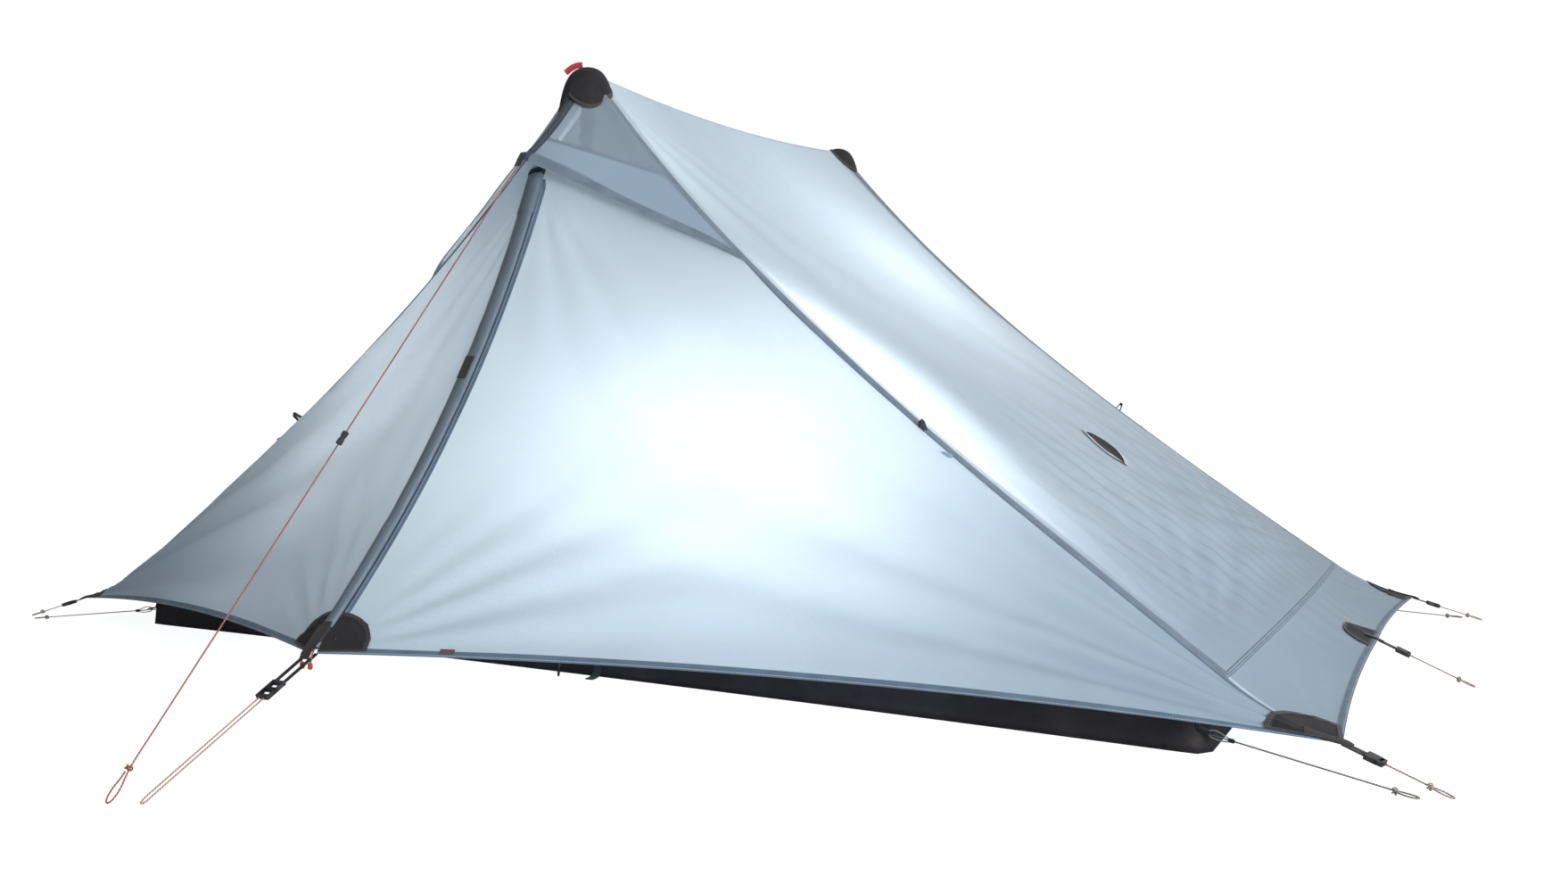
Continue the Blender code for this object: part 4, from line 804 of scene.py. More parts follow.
def ribbon(name, route, side, width, thickness, path, paint="webbing"):
    """Flat webbing along a route, lying across the side direction."""
    rings = []
    for place, tangent in zip(route, unit_rows(np.gradient(route, axis=0))):
        across = unit(np.asarray(side, float) - tangent * np.dot(side, tangent))
        up = np.cross(tangent, across)
        rings.append([place + (across * x * width + up * z * thickness) / 2 for x, z in RIBBON_RING])
    around = np.array([x for x, _ in RIBBON_RING + RIBBON_RING[:1]]) * width / 2
    data = swept(name, np.array(rings), around, route)
    data.set_sharp_from_angle(angle=math.radians(50))
    return placed(name, data, paint, path)


def tube(name, route, radius, paint, path, sides=10):
    """Round cord along a route."""
    route = np.asarray(route, float)
    tangents = unit_rows(np.gradient(route, axis=0))
    turns = 2 * np.pi * np.arange(sides + 1) / sides
    up = np.cross(tangents[0], (0.31, 0.17, 0.94))
    rings = []
    for place, tangent in zip(route, tangents):
        up = unit(up - tangent * np.dot(up, tangent))
        ring = np.outer(np.cos(turns[:-1]), up) + np.outer(np.sin(turns[:-1]), np.cross(tangent, up))
        rings.append(place + radius * ring)
    return placed(name, swept(name, np.array(rings), radius * turns, route), paint, path)


def turned(name, start, end, radius, paint, path, slot, sides=18):
    """Small barrel with rounded ends between two places."""
    axis = unit(end - start)
    side = unit(np.cross(axis, (0.3, 0.2, 1)))
    turns = np.linspace(0, 2 * math.pi, sides + 1)
    circle = np.outer(np.cos(turns), side) + np.outer(np.sin(turns), np.cross(axis, side))
    grid = np.array([start + (end - start) * along + circle * radius * share for along, share in BARREL])
    grid[:, -1] = grid[:, 0]
    return cloth(name, grid, paint, path)


# Curves and surfaces of the canopy at +X +Y, as in the CAD
def upper_seam(t):
    run = KINK - PEAK
    down = unit(np.array([run[2], 0, -run[0]]))
    return PEAK + run * t + down * SEAM_SAG * bow_weight(t, SEAM_SKEW_SHARE)


def lower_seam(t):
    return above(KINK + (CORNER - KINK) * t, -LOWER_SEAM_SAG * bow_weight(t))


def ridge(v):
    return np.array([0, PEAK[1] * (2 * v - 1), PEAK_HEIGHT - RIDGE_SAG * bow_weight(v)])


def foot_seam(v):
    bow = np.array([FOOT_SEAM_BOW, 0, FOOT_SEAM_RISE]) * bow_weight(v)
    return np.array([KINK[0], KINK[1] * (2 * v - 1), KINK[2]]) + bow


def end_hem(v):
    side = 2 * v - 1
    x, _, z = END_MID + (CORNER - END_MID) * abs(side)
    return np.array([x - END_HEM_BOW * bow_weight(abs(side)), CORNER[1] * side, z])


def storm_hem(t):
    rise = unit(np.array([0, -(VESTIBULE[1] - CORNER[1]), VESTIBULE[1] - CORNER[1]]))
    return CORNER + (VESTIBULE - CORNER) * t + rise * HEM_RISE * bow_weight(t)


def panel_grid(seam, start, end, crown, rows):
    """Coons patch between a seam, the same seam on the near side, and the curves at its start and end."""
    def near(t):
        return mirrored(seam(t), 1, -1)

    grid = []
    for u in np.linspace(0, 1, rows):
        row = []
        for v in np.linspace(0, 1, END_COLUMNS):
            ruled = (1 - v) * near(u) + v * seam(u) + (1 - u) * start(v) + u * end(v)
            corners = (1 - u) * ((1 - v) * near(0) + v * seam(0)) + u * ((1 - v) * near(1) + v * seam(1))
            row.append(above(ruled - corners, crown * bow_weight(u) * bow_weight(v)))
        grid.append(row)
    return np.array(grid)


def zip_curve(t):
    """Zip from its top to the vestibule point, with its outward normal."""
    chord = VESTIBULE - ZIP_TOP
    radius = np.linalg.norm(chord) ** 2 / (8 * ZIP_SAG) + ZIP_SAG / 2
    outward = unit(np.array([0, -chord[2], chord[1]]))
    centre = (ZIP_TOP + VESTIBULE) / 2 + outward * (radius - ZIP_SAG)
    first, last = (math.atan2(arm[2], arm[1]) for arm in (ZIP_TOP - centre, VESTIBULE - centre))
    turn = (last - first + math.pi) % (2 * math.pi) - math.pi
    angle = first + turn * t
    arm = np.array([0, math.cos(angle), math.sin(angle)])
    return centre + arm * radius, -arm


def zip_place(t, side_y, x, height):
    """A point beside the zip: x across it and height out from the tent."""
    point, outward = zip_curve(t)
    return mirrored(point + outward * height, 1, side_y) + np.array([x, 0, 0])


def fold_frame():
    """Ends of the line that a storm door folds about, its outward normal and its door side."""
    end = storm_hem(FOLD_HEM_SHARE)
    run = unit(end - ZIP_TOP)
    door_side = VESTIBULE - ZIP_TOP
    door_side = unit(door_side - run * np.dot(door_side, run))
    outward = unit(np.cross(door_side, run))
    return ZIP_TOP, end, outward if outward[2] >= 0 else -outward, door_side


def fold_line(t):
    start, end, outward, _ = fold_frame()
    return start + (end - start) * t - outward * FOLD_SAG * bow_weight(t)


def side_grid():
    """Header and storm door at +X +Y as one sheet: rows from the top to the hem, columns from seam to zip."""
    shares = np.linspace(0, 1, SEAM_SAMPLES)
    seam = [upper_seam(t) for t in HEADER_SEAM_SHARE + (1 - HEADER_SEAM_SHARE) * shares]
    seam = np.array(seam + [lower_seam(t) for t in shares[1:]])
    edge = np.array([ZIP_TAPE + 2 * CLEARANCE, 0, 0])
    _, fold_end, outward, _ = fold_frame()
    columns = np.linspace(0, 1, DOOR_COLUMNS)
    rows = []
    for share in np.arange(DOOR_TOP_STEPS) / DOOR_TOP_STEPS:
        outer = upper_seam(DOOR_TOP_SEAM_SHARE + (HEADER_SEAM_SHARE - DOOR_TOP_SEAM_SHARE) * share)
        inner = DOOR_TOP + (ZIP_TOP - DOOR_TOP) * share
        rows.append([outer + (inner - outer) * c for c in columns])
    span = seam[-1][0] - seam[0][0]
    for v in np.linspace(0, 1, DOOR_STEPS):
        place = seam[0][0] + span * v
        outer = np.array([np.interp(place, seam[:, 0], seam[:, axis]) for axis in range(3)])
        fold = fold_line(v)
        line = [outer + (fold - outer) * c for c in np.linspace(0, 1, HEADER_COLUMNS)]
        zip_edge = zip_curve(v)[0] + edge * min(1.0, ZIP_EDGE_START_SHARE + v / ZIP_EDGE_EASE)
        for u in np.linspace(0, 1, PANEL_COLUMNS)[1:]:
            hem = storm_hem(FOLD_HEM_SHARE + (1 - FOLD_HEM_SHARE) * u)
            drop = hem - (fold_end + (VESTIBULE - fold_end) * u)
            bulge = outward * DOOR_CROWN * bow_weight(u) * bow_weight(v)
            line.append((1 - u) * fold + u * zip_edge + v * drop + bulge)
        line = np.array(line)
        rows.append(along_line(line, columns * run_lengths(line)[-1]))
    return relaxed(np.array(rows), DOOR_RELAX)


# Wrinkles
def fan(points, anchor, axis, count, spread, amplitude, reach, phase):
    """Height of folds that fan out from an anchor, strongest at a distance of reach."""
    normal = unit(outward_normals(points).reshape(-1, 3).mean(0))
    axis = unit(axis - normal * np.dot(axis, normal))
    away = points - anchor
    angle = np.arctan2((away * np.cross(normal, axis)).sum(-1), (away * axis).sum(-1))
    share = np.linalg.norm(away, axis=-1) / reach
    window = np.exp(-(angle / spread) ** 2)
    return amplitude * share * np.exp(1 - share) * window * np.sin(count * angle + phase)


def ripples(points, centre, across, wavelength, amplitude, size, phase):
    """Height of straight folds side by side, fading away from their centre."""
    away = points - centre
    distance = np.linalg.norm(away / np.array(size), axis=-1)
    run = (away * unit(across)).sum(-1) + 0.010 * np.sin(away[..., 0] * 9 + phase)
    return amplitude * np.exp(-distance ** 2) * np.sin(2 * np.pi * run / wavelength + phase)


def folds(points, side, fans, rippled=()):
    """Height of the folds in these tables at the far and the near corner of one end."""
    height = np.zeros(points.shape[:2])
    for k, sign in enumerate((1, -1)):
        for fold, table in ((fan, fans), (ripples, rippled)):
            for place, way, *shape, phases in table:
                start, axis = mirrored(place, side, sign), mirrored(way, side, sign)
                height += fold(points, start, axis, *shape, phases[k])
    return height


def unrest(points, scale, amplitude, seed):
    """Height of slow uneven waves, the same in each run."""
    flat = points.reshape(-1, 3) * scale + seed
    return amplitude * np.array([noise.noise(Vector(place)) for place in flat]).reshape(points.shape[:2])


def edge_hold(points, *margins):
    """1 inside the grid and 0 on its edges, so that seams stay where they are."""
    shares = []
    for count, margin in zip(points.shape, margins):
        steps = np.linspace(0, 1, count)
        shares.append(np.clip(np.minimum(steps, 1 - steps) / margin, 0, 1))
    return shares[0][:, None] * shares[1][None, :]


def wrinkled(points, height):
    return points + outward_normals(points) * height[..., None]


# Pieces
def make_end(side, word, roof, foot):
    """Roof and foot panel of one end, with their seams and patches; gives the foot panel's grid."""
    points = mirrored(roof, side, 1)
    height = unrest(points, 2.6, 0.006, 11 * side) + folds(points, side, ROOF_FANS, ROOF_RIPPLES)
    points = wrinkled(points, height * edge_hold(points, 0.04, 0.05))
    sheet = cloth("roof_cloth_" + word, points, "canopy", "tent")
    pieces = sewn_bands("_" + word, "tent", (
        ("foot_tape", points, "last", 0.006, 0.0010, "seam"),
        ("roof_seam_near", points, "start", 0.020, 0.0014, "edge_tape"),
        ("roof_seam_far", points, "end", 0.020, 0.0014, "edge_tape"),
        ("ridge_tape", points, "first", 0.007, 0.0010, "roof_tape"),
    ))
    centre = (side * 0.930, 0, 0.448)
    outline = oval_outline(centre, (side * 0.050, 0, -0.036), (0, 0.044, 0), 2 * math.pi)
    surface = surface_of(points)
    pieces += applique("roof_patch_" + word, surface, centre, outline, (side, 0, 1), "tent", "pale_rim")
    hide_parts("roof_" + word)

    lower = mirrored(foot, side, 1)
    centre, *shape = FOOT_RIPPLES
    height = unrest(lower, 5.0, 0.003, 5 * side) + folds(lower, side, FOOT_FANS)
    height += ripples(lower, mirrored(centre, side, 1), *shape)
    lower = wrinkled(lower, height * edge_hold(lower, 0.12, 0.05))
    sheet = cloth("foot_cloth_" + word, lower, "canopy", "tent")
    pieces = sewn_bands("_" + word, "tent", (
        ("end_hem", lower, "last", 0.014, 0.0012, "hem"),
        ("foot_seam_tape", lower, "first", 0.005, 0.0014, "seam"),
        ("foot_side_near", lower, "start", 0.012, 0.0010, "roof_tape"),
        ("foot_side_far", lower, "end", 0.012, 0.0010, "roof_tape"),
    ))
    hem = mirrored(END_MID + np.array([-0.010, 0, 0.003]), side, 1)
    outline = oval_outline(hem, (0, 0.080, 0), (-side * 0.056, 0, 0.018), math.pi)
    outline = np.concatenate([outline, outline[:1]])
    centre = hem + np.array([-side * 0.022, 0, 0.007])
    pieces += applique("end_patch_" + word, surface_of(lower), centre, outline, (side, 0, 2), "tent")
    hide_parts("foot_panel_" + word)
    return lower


def corner_outline():
    """Centre and outline of the corner patch, from the door's hem over the seam to the foot's hem."""
    door_way, seam_way, foot_way = (unit(end - CORNER) for end in (storm_hem(0.06), KINK, end_hem(0.90)))
    ways = [door_way + (seam_way - door_way) * share for share in np.linspace(0.10, 1, 14)]
    ways += [seam_way + (foot_way - seam_way) * share for share in np.linspace(0, 0.90, 14)[1:]]
    spans = 0.080 + 0.034 * np.cos(np.linspace(0, math.pi / 2, len(ways)))
    arc = [CORNER + unit(way) * span for way, span in zip(ways, spans)]
    return CORNER + seam_way * 0.050, [*arc, *(CORNER + unit(way) * 0.012 for way in ways[::-1]), arc[0]]


def vestibule_outline():
    """Centre and outline of the quarter of the vestibule patch on one door."""
    hem_way, zip_way = (unit(end - VESTIBULE) for end in (storm_hem(0.93), zip_curve(0.93)[0]))
    arc = [VESTIBULE + hem_way * 0.088 * math.cos(turn) + zip_way * 0.080 * math.sin(turn)
           for turn in np.linspace(0.03, 0.97, 24) * math.pi / 2]
    outline = [*arc, VESTIBULE + zip_way * 0.010, VESTIBULE + hem_way * 0.010, arc[0]]
    return VESTIBULE + (hem_way + zip_way) * 0.026, outline


def make_side(side_x, side_y, place, grid, foot):
    """One side of the canopy between its seam and its zip, with its bands and patches."""
    def here(points):
        return mirrored(points, side_x, side_y)

    depth = place.split("_")[0]
    points = here(grid)
    phase = 0.7 * side_x + 1.3 * side_y
    height = unrest(points, 3.1, 0.0045, 3 * side_x + side_y)
    for anchor, way, *shape, shift in SIDE_FANS:
        height += fan(points, here(anchor), here(way), *shape, phase + shift)
    points = wrinkled(points, height * edge_hold(points, 0.03, 0.06))
    fold_start, fold_end, _, door_side = fold_frame()
    middle = here((fold_start + fold_end) / 2)
    reach = here(door_side) * FOLD_REACH
    path = ("tent", "storm_door_" + place, middle - reach, middle + reach)
    sheet = cloth("side_cloth_" + place, points, "canopy", path)
    pieces = sewn_bands("_" + place, path, (
        ("door_hem", points, "last", 0.013, 0.0014, "hem"),
        ("side_seam", points, "start", 0.015, 0.0024, "seam"),
        ("zip_hem", points[DOOR_TOP_STEPS:], "end", 0.010, 0.0007, "hem"),
        # Door's top hem, in a dark colour that also stands in as painted shade of the door's edge seen
        # through the hood
        ("door_top_hem_shaded", points, "first", 0.009, 0.0010, "piping"),
    ))
    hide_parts("storm_door_" + place)
    if side_x > 0:
        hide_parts("door_header_" + depth)
    surface = surface_of(points, here(foot))
    outward = here(SIDE_OUTWARD)
    patches = (("corner_patch_", corner_outline()), ("vestibule_patch_", vestibule_outline()))
    for name, (centre, outline) in patches:
        pieces += applique(name + place, surface, here(centre), here(outline), outward, path)
    run = way_of(CORNER_LINE_RUN)
    inside = [CORNER + (KINK - CORNER) * share + np.array([0, share * 0.05, 0]) for share in (0.30, 0.2, 0.1)]
    laid = laid_on(surface, here(inside)[None], outward, PATCH_LIFT)[0]
    ends = here([above(CORNER + run * 0.004, 0.0030), above(CORNER + run * 0.014, 0.0018)])
    route = smooth_route([*laid, *ends], 4)
    across = here(np.cross(run, (0, 0.3, 1)))
    pieces.append(ribbon("corner_webbing_" + place, route, across, 0.015, 0.0018, path))
    if place == "near_right":
        hem = [here(storm_hem(share)) for share in TAG_HEM_SHARES]
        targets = np.array([[above(start, rise) for start in np.linspace(*hem, 4)] for rise in TAG_RISES])
        pieces.append(cloth("hem_tag", laid_on(surface, targets, outward, TAG_LIFT), "tag", path))


def make_hood(side_y, depth):
    """Doubled peak over the top of the doors, creased along its middle."""
    sag = unit(np.array([0, HOOD_TIP[2] - PEAK[2], -(HOOD_TIP[1] - PEAK[1])]))
    rows = []
    for v in np.linspace(0.02, 1, 44):
        crease = PEAK + (HOOD_TIP - PEAK) * v + sag * HOOD_SAG * bow_weight(v)
        seam = upper_seam(HOOD_SEAM_SHARE * v)
        rows.append([crease + (mirrored(seam, math.copysign(1, share), 1) - crease) * abs(share)
                     for share in np.linspace(-1, 1, 61)])
    points = mirrored(rows, 1, side_y)
    height = unrest(points, 7.0, 0.004, 4 * side_y) * edge_hold(points, 0.06, 0.06)
    span = np.abs(np.linspace(-1, 1, points.shape[1]))
    height += (HOOD_SWELL * bow_weight(span) + HOOD_SEAM_ROLL * span ** 6 * (1 - span))[None, :]
    points = wrinkled(points, height)
    sheet = cloth("hood_cloth_" + depth, points, "hood", "tent")
    middle = points.shape[1] // 2
    pieces = sewn_bands("_" + depth, "tent", (
        ("hood_hem", points, "last", 0.031, 0.0014, "hood_hem"),
        ("hood_crease_right", points[:, middle:], "start", 0.013, 0.0018, "piping"),
        ("hood_crease_left", points[:, :middle + 1], "end", 0.013, 0.0018, "piping"),
        ("hood_seam_right", points, "end", 0.010, 0.0020, "seam"),
        ("hood_seam_left", points, "start", 0.010, 0.0020, "seam"),
    ))
    run = way_of(HOOD_LINE_RUN)
    out = np.array([0, 0.7, 0.7])
    tab = [HOOD_TIP + run * along + out * lift
           for along, lift in ((-0.014, 0.004), (0, 0.003), (0.012, 0.001), (0.020, 0))]
    route = mirrored(smooth_route(tab, 4), 1, side_y)
    pieces.append(ribbon("hood_tab_" + depth, route, (1, 0, 0), 0.015, 0.0022, "tent"))
    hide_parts("hood_" + depth)


def zip_cover(rows, side_y):
    """Grid of cloth over the zip, from rows of a share along the zip and a profile of across and height."""
    _, _, lean, _ = fold_frame()
    grid = []
    for t, profile in rows:
        row = []
        for across, height in profile:
            back = max(0.0, abs(across) - ZIP_TAPE) * lean[0] / lean[1]
            row.append(zip_place(t, side_y, -side_y * across, height) - np.array([0, side_y * back, 0]))
        grid.append(row)
    return np.array(grid)


def make_garage(side_y, depth):
    """Pocket over the top of the zip, fixed to the canopy, under which the flap starts, with a navy band at
    its top that is painted shade under the hood's hem.
    """
    rows = []
    for t in np.linspace(GARAGE_START, FLAP_START + 0.004, 16):
        open_share = min(1.0, (t - GARAGE_START) / GARAGE_EASE)
        rows.append((t, [(x, GARAGE_HEM + (z - GARAGE_HEM) * open_share) for x, z in GARAGE_PROFILE]))
    points = zip_cover(rows, side_y)
    return [cloth("zip_garage_" + depth, points, "flap", "tent"), *sewn_bands("_" + depth, "tent", (
        # Navy band at the pocket's top: painted shade under the hood's hem
        ("zip_garage_shade_band", points, "first", 0.022, 0.0010, "navy"),
        ("zip_garage_edge", points, "end", 0.0045, 0.0009, "flap_tape"),
    ))]


def make_flap(side_y, depth):
    """Tunnel of cloth over the zip, sewn to the door that carries it, with a dark edge and a tab."""
    body = ZIP_BODIES[depth]
    rows = []
    for t in np.linspace(FLAP_START, 0.992, 130):
        growth = FLAP_TOP_GROWTH * max(0.0, 1 - t / FLAP_TOP_REACH)
        taper = FLAP_TAPER * min(1.0, max(0.0, (t - FLAP_TAPER_START) / FLAP_TAPER_REACH))
        width = 1 + growth - taper
        rows.append((t, [(x * width if x < 0 else x, height) for x, height in FLAP_PROFILE]))
    points = zip_cover(rows, side_y)
    points = wrinkled(points, unrest(points, 16.0, 0.0022, 6 * side_y) * edge_hold(points, 0.01, 0.2))
    sheet = cloth("flap_cloth_" + depth, points, "flap", body)
    edge = points[:, -1] + outward_normals(points)[:, -1] * 0.0005
    pieces = [tube("flap_piping_" + depth, edge, 0.0020, "piping", body, 8)]
    pieces += sewn_bands("_" + depth, body, (
        ("flap_hem", points, "start", 0.006, 0.0008, "flap_tape"),
        ("flap_foot", points[::-1], "first", 0.050, 0.0010, "patch_rim"),
    ))
    pieces += make_garage(side_y, depth)
    centre = zip_place(0.415, side_y, side_y * 0.006, 0.0115)
    down = unit(zip_place(0.45, side_y, 0, 0) - zip_place(0.38, side_y, 0, 0)) * 0.024
    route = smooth_route([centre - down, centre, centre + down], 3)
    pieces.append(ribbon("flap_tab_" + depth, route, (1, 0, 0), 0.020, 0.0018, body))
    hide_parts("storm_flap_" + depth)


def cap_rim(turn, radius):
    """Place on the panels round a peak, by its turn from the hood's crease and its distance."""
    crease = HOOD_TIP - PEAK
    seam = upper_seam(1 / 14) - PEAK
    back = ridge(1 - 1 / 8) - PEAK
    folded = abs((turn + math.pi) % (2 * math.pi) - math.pi)
    x, y = radius * math.sin(folded), radius * math.cos(folded)
    edge = crease if folded <= math.atan2(seam[0], seam[1]) else back
    across = x / seam[0]
    along = (y - across * seam[1]) / edge[1]
    return PEAK + np.array([x if math.sin(turn) >= 0 else -x, y, across * seam[2] + along * edge[2]])


def make_cap(side_y, depth):
    """Rounded reinforcement over a peak, stitched near its rim, with a webbing tab on the near one."""
    rows = []
    for share in np.linspace(0.02, 1, 22):
        row = []
        for turn in np.linspace(0, 2 * math.pi, 73):
            reach = CAP_RADIUS * share * (1 + CAP_CREASE_GROWTH * (0.5 + 0.5 * math.cos(turn)) ** 2)
            point = cap_rim(turn, reach)
            crown = PEAK[2] + CAP_CROWN - reach ** 2 / (2 * CAP_DOME)
            panel = point[2] + CAP_LIFT
            excess = CAP_MELT * math.log1p(math.exp((crown - panel) / CAP_MELT))
            point[2] = panel + excess * (1 - share ** 5)
            row.append(point)
        rows.append(row)
    points = mirrored(rows, 1, side_y)
    cap = cloth("cap_cloth_" + depth, points, "patch", "tent")
    rim = (("cap_rim", points, "last", 0.009, 0.0014, "patch_rim"),)
    pieces = sewn_bands("_" + depth, "tent", rim)
    if depth == "near":
        steps = (
            (-0.010, 0.006, 0.0140), (-0.021, 0.012, 0.0125),
            (-0.032, 0.017, 0.0070), (-0.042, 0.022, -0.0020),
        )
        route = smooth_route(mirrored(PEAK + np.array(steps), 1, side_y), 4)
        pieces.append(ribbon("cap_tab_near", route, (0.2, -0.3, 1), 0.012, 0.0022, "tent", "red_webbing"))
    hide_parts("peak_cap_" + depth)


def tub_outline(inset, count=240):
    """Rounded outline of the tub at even steps, with its long sides drawn in at their middle."""
    straight_x = FLOOR_LENGTH / 2 - inset - TUB_CORNER_RADIUS
    straight_y = FLOOR_WIDTH / 2 - inset - TUB_CORNER_RADIUS
    half_length, half_width = straight_x + TUB_CORNER_RADIUS, straight_y + TUB_CORNER_RADIUS
    points = []
    for corner, (sign_x, sign_y) in enumerate(((1, 1), (-1, 1), (-1, -1), (1, -1))):
        for turn in math.pi / 2 * (corner + np.arange(9) / 8):
            points.append((sign_x * straight_x + TUB_CORNER_RADIUS * math.cos(turn),
                           sign_y * straight_y + TUB_CORNER_RADIUS * math.sin(turn)))
        for share in np.arange(1, 24) / 24:
            if sign_x == sign_y:
                hollow = TUB_SIDE_HOLLOW * bow_weight(share)
                points.append((sign_x * straight_x * (1 - 2 * share), sign_y * (half_width - hollow)))
            else:
                points.append((sign_x * half_length, sign_y * straight_y * (1 - 2 * share)))
    line = np.array([(x, y, 0) for x, y in [*points, points[0]]])
    reach = run_lengths(line)[-1]
    return along_line(line, np.linspace(0, reach, count + 1)), reach


def make_tub():
    """Bathtub floor: flat below, with soft walls, a rolled top edge and webbing at its corners."""
    base, reach = tub_outline(TUB_SKIN)
    rows = [above(base * share, TUB_FLOOR_LIFT) for share in (0.0005, 0.3, 0.6, 0.85, 0.97)]
    uv = [row[:, :2] for row in rows]
    around = np.linspace(0, reach, len(base))
    slack = 0.0022 * np.sin(around * 61) * np.sin(around * 17 + 1) + 0.0016 * np.sin(around * 113 + 2)
    for share in np.linspace(0, 1, 14):
        lean = TUB_LEAN * (0.25 * min(1, share * 3) + 0.75 * max(0, share - 1 / 3) * 1.5)
        outline, _ = tub_outline(lean + TUB_SKIN)
        inward = unit_rows(-outline) * (slack * bow_weight(share) + TUB_SKIN)[:, None]
        rows.append(above(outline + inward, TUB_FLOOR_LIFT + (TUB_HEIGHT - TUB_FLOOR_LIFT) * share))
        uv.append(np.stack([around, np.full(len(around), TUB_HEIGHT * share)], -1))
    points = np.array(rows)
    points[:, -1] = points[:, 0]
    tub = placed("tub_cloth", grid_data("tub_cloth", points, np.array(uv)), "floor", "tent")
    rim = (("tub_rim", points, "last", 0.010, 0.0012, "patch_rim"),)
    pieces = sewn_bands("", "tent", rim)
    start, run = np.array(FLOOR_LINE_RUN[0]), way_of(FLOOR_LINE_RUN)
    wall = [above(start + run * along, rise)
            for along, rise in ((-0.007, 0.030), (-0.003, 0.014), (0.002, 0.0052), (0.022, 0.0040))]
    for side_x, word in SIDES:
        for side_y, depth in DEPTHS:
            route = mirrored(smooth_route(wall, 4), side_x, side_y)
            across = mirrored((-run[1], run[0], 0), side_x, side_y)
            pieces.append(ribbon("tub_strap_" + depth + "_" + word, route, across, 0.018, 0.0024, "tent"))
    for side_y, depth in DEPTHS:
        side = FLOOR_WIDTH / 2 - TUB_SIDE_HOLLOW
        tab = [(0.077, side + out, rise)
               for out, rise in ((-0.004, 0.030), (0.001, 0.010), (0.012, 0.0030), (0.030, 0.0016))]
        route = mirrored(smooth_route(tab, 4), -side_y, side_y)
        pieces.append(ribbon("tub_tab_" + depth, route, (1, 0, 0), 0.020, 0.0018, "tent"))
    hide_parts("bathtub_floor")


def make_nets():
    """Netting of the inner walls and doors, on the surfaces of their CAD sheets."""
    for _, depth in DEPTHS:
        for kind, body in (("wall", "tent"), ("door", "mesh_door_" + depth)):
            node = "mesh_" + kind + "_" + depth
            data = NODES[node].data.copy()
            data.materials.clear()
            shell = bmesh.new()
            shell.from_mesh(data)
            bmesh.ops.remove_doubles(shell, verts=shell.verts, dist=0.0001)
            bmesh.ops.subdivide_edges(shell, edges=shell.edges, cuts=3, use_grid_fill=True)
            for vertex in shell.verts:
                vertex.co.z -= NET_DROP * min(1, max(0, (vertex.co.z - TUB_HEIGHT) / NET_EASE))
            shell.to_mesh(data)
            shell.free()
            made = placed("net_" + kind + "_" + depth, data, "net", body)
            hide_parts(node)


def seam_trim(place, side_x, side_y):
    """Guy loop on a roof seam, with the toggle and cord that hold a rolled door below it."""
    seam, along = upper_seam(0.62), unit(upper_seam(0.64) - upper_seam(0.60))
    out = unit((0.15, 0.75, 0.60))
    loop = [seam + along * run + out * rise for run, rise in (
        (-0.006, -0.002), (-0.0045, 0.010), (0, 0.023), (0.0045, 0.010), (0.006, -0.002))]
    route = mirrored(smooth_route(loop, 5), side_x, side_y)
    across = mirrored(np.cross(along, out), side_x, side_y)
    ribbon("seam_loop_" + place, route, across, 0.010, 0.0020, "tent")
    low = upper_seam(0.655)
    hang = unit((0.1, 0.5, -0.85))
    ends = low + hang * 0.006 + np.array([(-0.014, 0.008, 0), (0.014, 0.008, -0.006)])
    ends = mirrored(ends, side_x, side_y)
    turned("tie_toggle_" + place, *ends, 0.0042, "pale_plastic", "tent", "black_plastic")
    tie = [low + unit(np.cross(hang, (1, 0, 0))) * 0.001, low + hang * 0.004 + np.array([0, 0.006, 0]),
           low + hang * 0.006 + np.array([0, 0.009, -0.003])]
    route = mirrored(smooth_route(tie, 5), side_x, side_y)
    tube("tie_cord_" + place, route, 0.0010, "shock_cord", "tent")


def vestibule_trim(side_y, depth):
    """Webbing over the foot of the zip, with two red ties and their knots."""
    body = ZIP_BODIES[depth]
    wrap = [zip_place(0.955, side_y, 0, 0.0125), zip_place(0.985, side_y, 0, 0.0125),
            *mirrored(VESTIBULE + np.array([(0, 0.010, 0.006), (0, 0.018, -0.006)]), 1, side_y)]
    ribbon("vestibule_webbing_" + depth, smooth_route(wrap, 5), (1, 0, 0), 0.020, 0.0020, body)
    steps = [(0.010, 0.004, 0.008), (0.012, 0.012, 0.000), (0.009, 0.013, -0.018)]
    for sign, word in ((-1, "a"), (1, "b")):
        place = depth + "_" + word
        tie = VESTIBULE + mirrored(steps, sign * side_y, 1)
        route = smooth_route(mirrored(tie, 1, side_y), 5)
        tube("vestibule_tie_" + place, route, 0.0014, "red_line", body)
        ends = above(route[-1], 0.006), above(route[-1], -0.006)
        turned("vestibule_knot_" + place, *ends, 0.0040, "red_webbing", body, "red_line")


def make_trim():
    """Small sewn pieces: guy loops, tie toggles, end webbing and the ties of the vestibules."""
    for side_x, word in SIDES:
        for side_y, depth in DEPTHS:
            seam_trim(depth + "_" + word, side_x, side_y)
        strip = [END_MID + np.array([-0.028, 0, 0.0115]), END_MID + np.array([-0.010, 0, 0.0062]),
                 above(END_MID + way_of(END_LINE_RUN) * 0.012, 0.0016)]
        route = mirrored(smooth_route(strip, 4), side_x, 1)
        ribbon("end_webbing_" + word, route, (0, 1, 0), 0.015, 0.0018, "tent")
    for side_y, depth in DEPTHS:
        vestibule_trim(side_y, depth)


def taut(run):
    """A straight run, with a point near its end that keeps the bend after it short."""
    start, end = np.array(run, float)
    return [start, end - (end - start) * RUN_END_SHARE, end]


